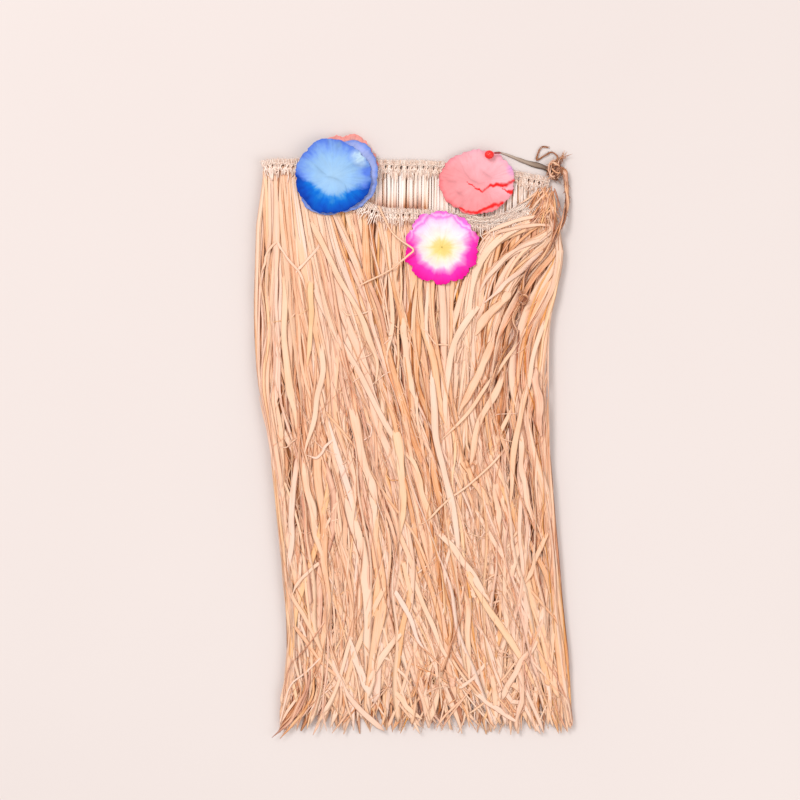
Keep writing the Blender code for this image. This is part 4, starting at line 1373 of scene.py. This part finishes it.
BLUE_LOWER = (
    (0.0, 164, 204, 240), (0.36, 146, 192, 238), (0.5, 56, 146, 230), (0.64, 0, 112, 218),
    (0.82, 0, 86, 200), (1.0, 0, 60, 170),
)
BLUE_UPPER = (
    (0.0, 166, 206, 242), (0.5, 150, 194, 240), (0.78, 126, 168, 236), (0.92, 100, 138, 228),
    (1.0, 86, 124, 222),
)
LILAC_BLUE = ((0.0, 164, 204, 240), (0.8, 170, 186, 234), (0.93, 158, 172, 232), (1.0, 110, 142, 224))
CORAL_LOWER = ((0.0, 247, 164, 170), (0.6, 246, 157, 162), (0.9, 245, 148, 152), (1.0, 238, 120, 126))
CORAL_UPPER = ((0.0, 248, 162, 168), (0.5, 248, 178, 187), (0.85, 248, 184, 194), (1.0, 242, 172, 190))
PINK_LOWER = (
    (0.0, 110, 90, 40), (0.045, 238, 208, 118), (0.2, 244, 218, 138), (0.36, 250, 238, 214),
    (0.54, 250, 228, 234), (0.64, 252, 150, 216), (0.76, 255, 52, 184), (1.0, 248, 14, 158),
)
PINK_UPPER = (
    (0.0, 110, 90, 40), (0.045, 238, 208, 118), (0.2, 244, 222, 150), (0.34, 250, 240, 226),
    (0.62, 250, 232, 246), (0.78, 250, 208, 246), (0.87, 246, 132, 226), (0.93, 250, 190, 244),
    (1.0, 246, 110, 214),
)
blue_material = petal_material(
    "blue_petal",
    (BLUE_LOWER, BLUE_UPPER),
    {"Ragged": 0.5, "Tilt": 0.16, "Valley": 0.5},
    turn_at=(-0.62, -0.46),
    stain=srgb(188, 218, 242),
)
CORAL_BACK = ((0.0, 250, 186, 178), (0.8, 250, 184, 176), (1.0, 246, 150, 142))
folded_material = petal_material("folded_coral_petal", (CORAL_BACK, CORAL_BACK), {"Ragged": 0.2})
back_blue_material = petal_material("lilac_blue_petal", (LILAC_BLUE, LILAC_BLUE), {"Ragged": 0.1})
coral_material = petal_material(
    "coral_petal",
    (CORAL_LOWER, CORAL_UPPER),
    {"Ragged": 0.2, "Tilt": 1.0},
    turn_at=(-0.5, 0.9),
    fold=srgb(248, 40, 40),
    stain=srgb(232, 160, 218),
)
pink_material = petal_material(
    "pink_petal", (PINK_LOWER, PINK_UPPER), {"Ragged": 0.15, "Lobes": 0.18}, turn_at=(0.1, 0.62)
)
flower(FLOWERS[0], back_blue_material, 1)
flower(FLOWERS[1], blue_material, 2)
flower(FLOWERS[2], coral_material, 3)
flower(FLOWERS[3], folded_material, 4)
flower(FLOWERS[4], pink_material, 5)

# The coral flower's bead and stalk: a red plastic berry with a dimple on a short stalk.
# Both are sewn near the flower's edge, and the stalk points away from its middle.
BEAD_STOPS = ((0.3, 242, 26, 24), (0.7, 250, 38, 32))
bead_low, bead_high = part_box("coral_bead")
bm = bmesh.new()
bead_half = (bead_high.x - bead_low.x) / 2
bmesh.ops.create_icosphere(bm, subdivisions=4, radius=1)
for v in bm.verts:
    lumpy = 1 + 0.05 * noise.noise(v.co * 2.2)
    dimple = 0.22 * math.exp(-((v.co.x + 0.15) ** 2 + (v.co.y - 0.1) ** 2) / 0.05) * max(0.0, v.co.z)
    shape = Vector((1.04, 0.97, 0.86 - dimple))
    v.co = v.co * shape * (lumpy * bead_half)
bmesh.ops.translate(bm, vec=(bead_low + bead_high) / 2, verts=bm.verts)
bead = object_from(bm, "red_berry")
material, tree, shader = new_material("red_bead", 0.5, Coat_Weight=0.1)
spot = node(tree, "TexCoord").outputs["Object"]
blush = node(tree, "TexNoise", {"Vector": spot, "Scale": 300.0, "Detail": 2.0}).outputs[0]
tree.links.new(ramp(tree, blush, BEAD_STOPS), shader.inputs["Base Color"])
dressed(bead, material, ["coral_bead"])

stem_low, stem_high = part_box("coral_stem")
stem_line = [Vector((stem_low.x, (stem_low.y + stem_high.y) / 2, (stem_low.z + stem_high.z) / 2)) / MM]
stem_line.append(stem_line[0] + Vector((stem_high.x - stem_low.x, 0, 0)) / MM)
stem_strands = [strand(spread(stem_line, 12), 1.9, 1.7, 0.5, roll=1.0, tip=0.3, seed=3)]
STEM_STOPS = ((0.0, 90, 10, 16), (1.0, 210, 60, 60))
stem_material = raffia_material("red_stem", STEM_STOPS, roughness=0.6)
strand_piece("red_stalk", stem_strands, stem_material, ["coral_stem"])

# The corner knot: the band's two ends and the ties, wound and pulled together into one frayed lump.
# Thin strands wrap it every way, and some run on out of it along the long tie.
knot_low, knot_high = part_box("corner_knot")
knot_centre = (knot_low + knot_high) / 2 / MM
knot_half = (knot_high - knot_low) / 2 / MM
KNOT_STEPS = 24
KNOT_BEGIN = Vector((-4.0, -6.0, -0.4))
KNOT_BEYOND = Vector((5.0, 1.0, 0.6))
KNOT_STRAY = 1.8
WRAP_WIDE = (0.8, 2.0)
END_WIDE = (0.6, 1.7)


def knot_wraps(rng, count):
    """Thin strands wound loosely over one another."""
    found = []
    for wrap in range(count):
        axis = Vector((rng.uniform(-0.3, 1.2), rng.uniform(-0.2, 1.0), rng.uniform(-1, 1))).normalized()
        across = axis.orthogonal().normalized()
        ahead = axis.cross(across)
        shift = rng.uniform(-0.6, 0.6)
        size = rng.uniform(0.55, 1.0)
        begin, swing = rng.uniform(0, 6), rng.uniform(0.6, 1.5) * math.pi
        points = []
        for k in range(KNOT_STEPS):
            turn = begin + swing * k / (KNOT_STEPS - 1)
            ball = across * math.cos(turn) + ahead * math.sin(turn) + axis * shift
            ball = ball.normalized() * (size + 0.3 * sway(wrap, k / 6))
            points.append(knot_centre + ball * knot_half)
        shade, wide = rng.uniform(0.05, 0.95), rng.uniform(*WRAP_WIDE)
        found.append(strand(points, wide, 0.7, shade, roll=1.6, tip=0.3, root=0.3, seed=wrap))
    return found


def knot_ends(rng, count):
    """Ends that run out of the knot along the long tie."""
    found = []
    for end in range(count):
        jitter = [Vector([rng.uniform(-KNOT_STRAY, KNOT_STRAY) for _ in range(3)]) for _ in range(5)]
        begin = rng.choice((flat_end[0], loop_line[0], knot_centre + KNOT_BEGIN))
        over = knot_centre + Vector((rng.uniform(-1, 3), rng.uniform(-2, 3), rng.uniform(0.5, 3.0)))
        beyond = knot_centre + KNOT_BEYOND
        route = (begin, over, beyond, long_line[1], long_line[rng.randint(3, 8)])
        line = spread(smooth([place + shift for place, shift in zip(route, jitter)]), KNOT_STEPS)
        shade, wide = rng.uniform(0.1, 0.95), rng.uniform(*END_WIDE)
        found.append(strand(line, wide, 0.6, shade, roll=1.4, tip=0.3, root=0.3, seed=end + 80))
    return found


rng = random.Random(8)
knot_strands = knot_wraps(rng, 26) + knot_ends(rng, 26)
strand_piece("corner_knot_wraps", knot_strands, tie_material, ["corner_knot"])
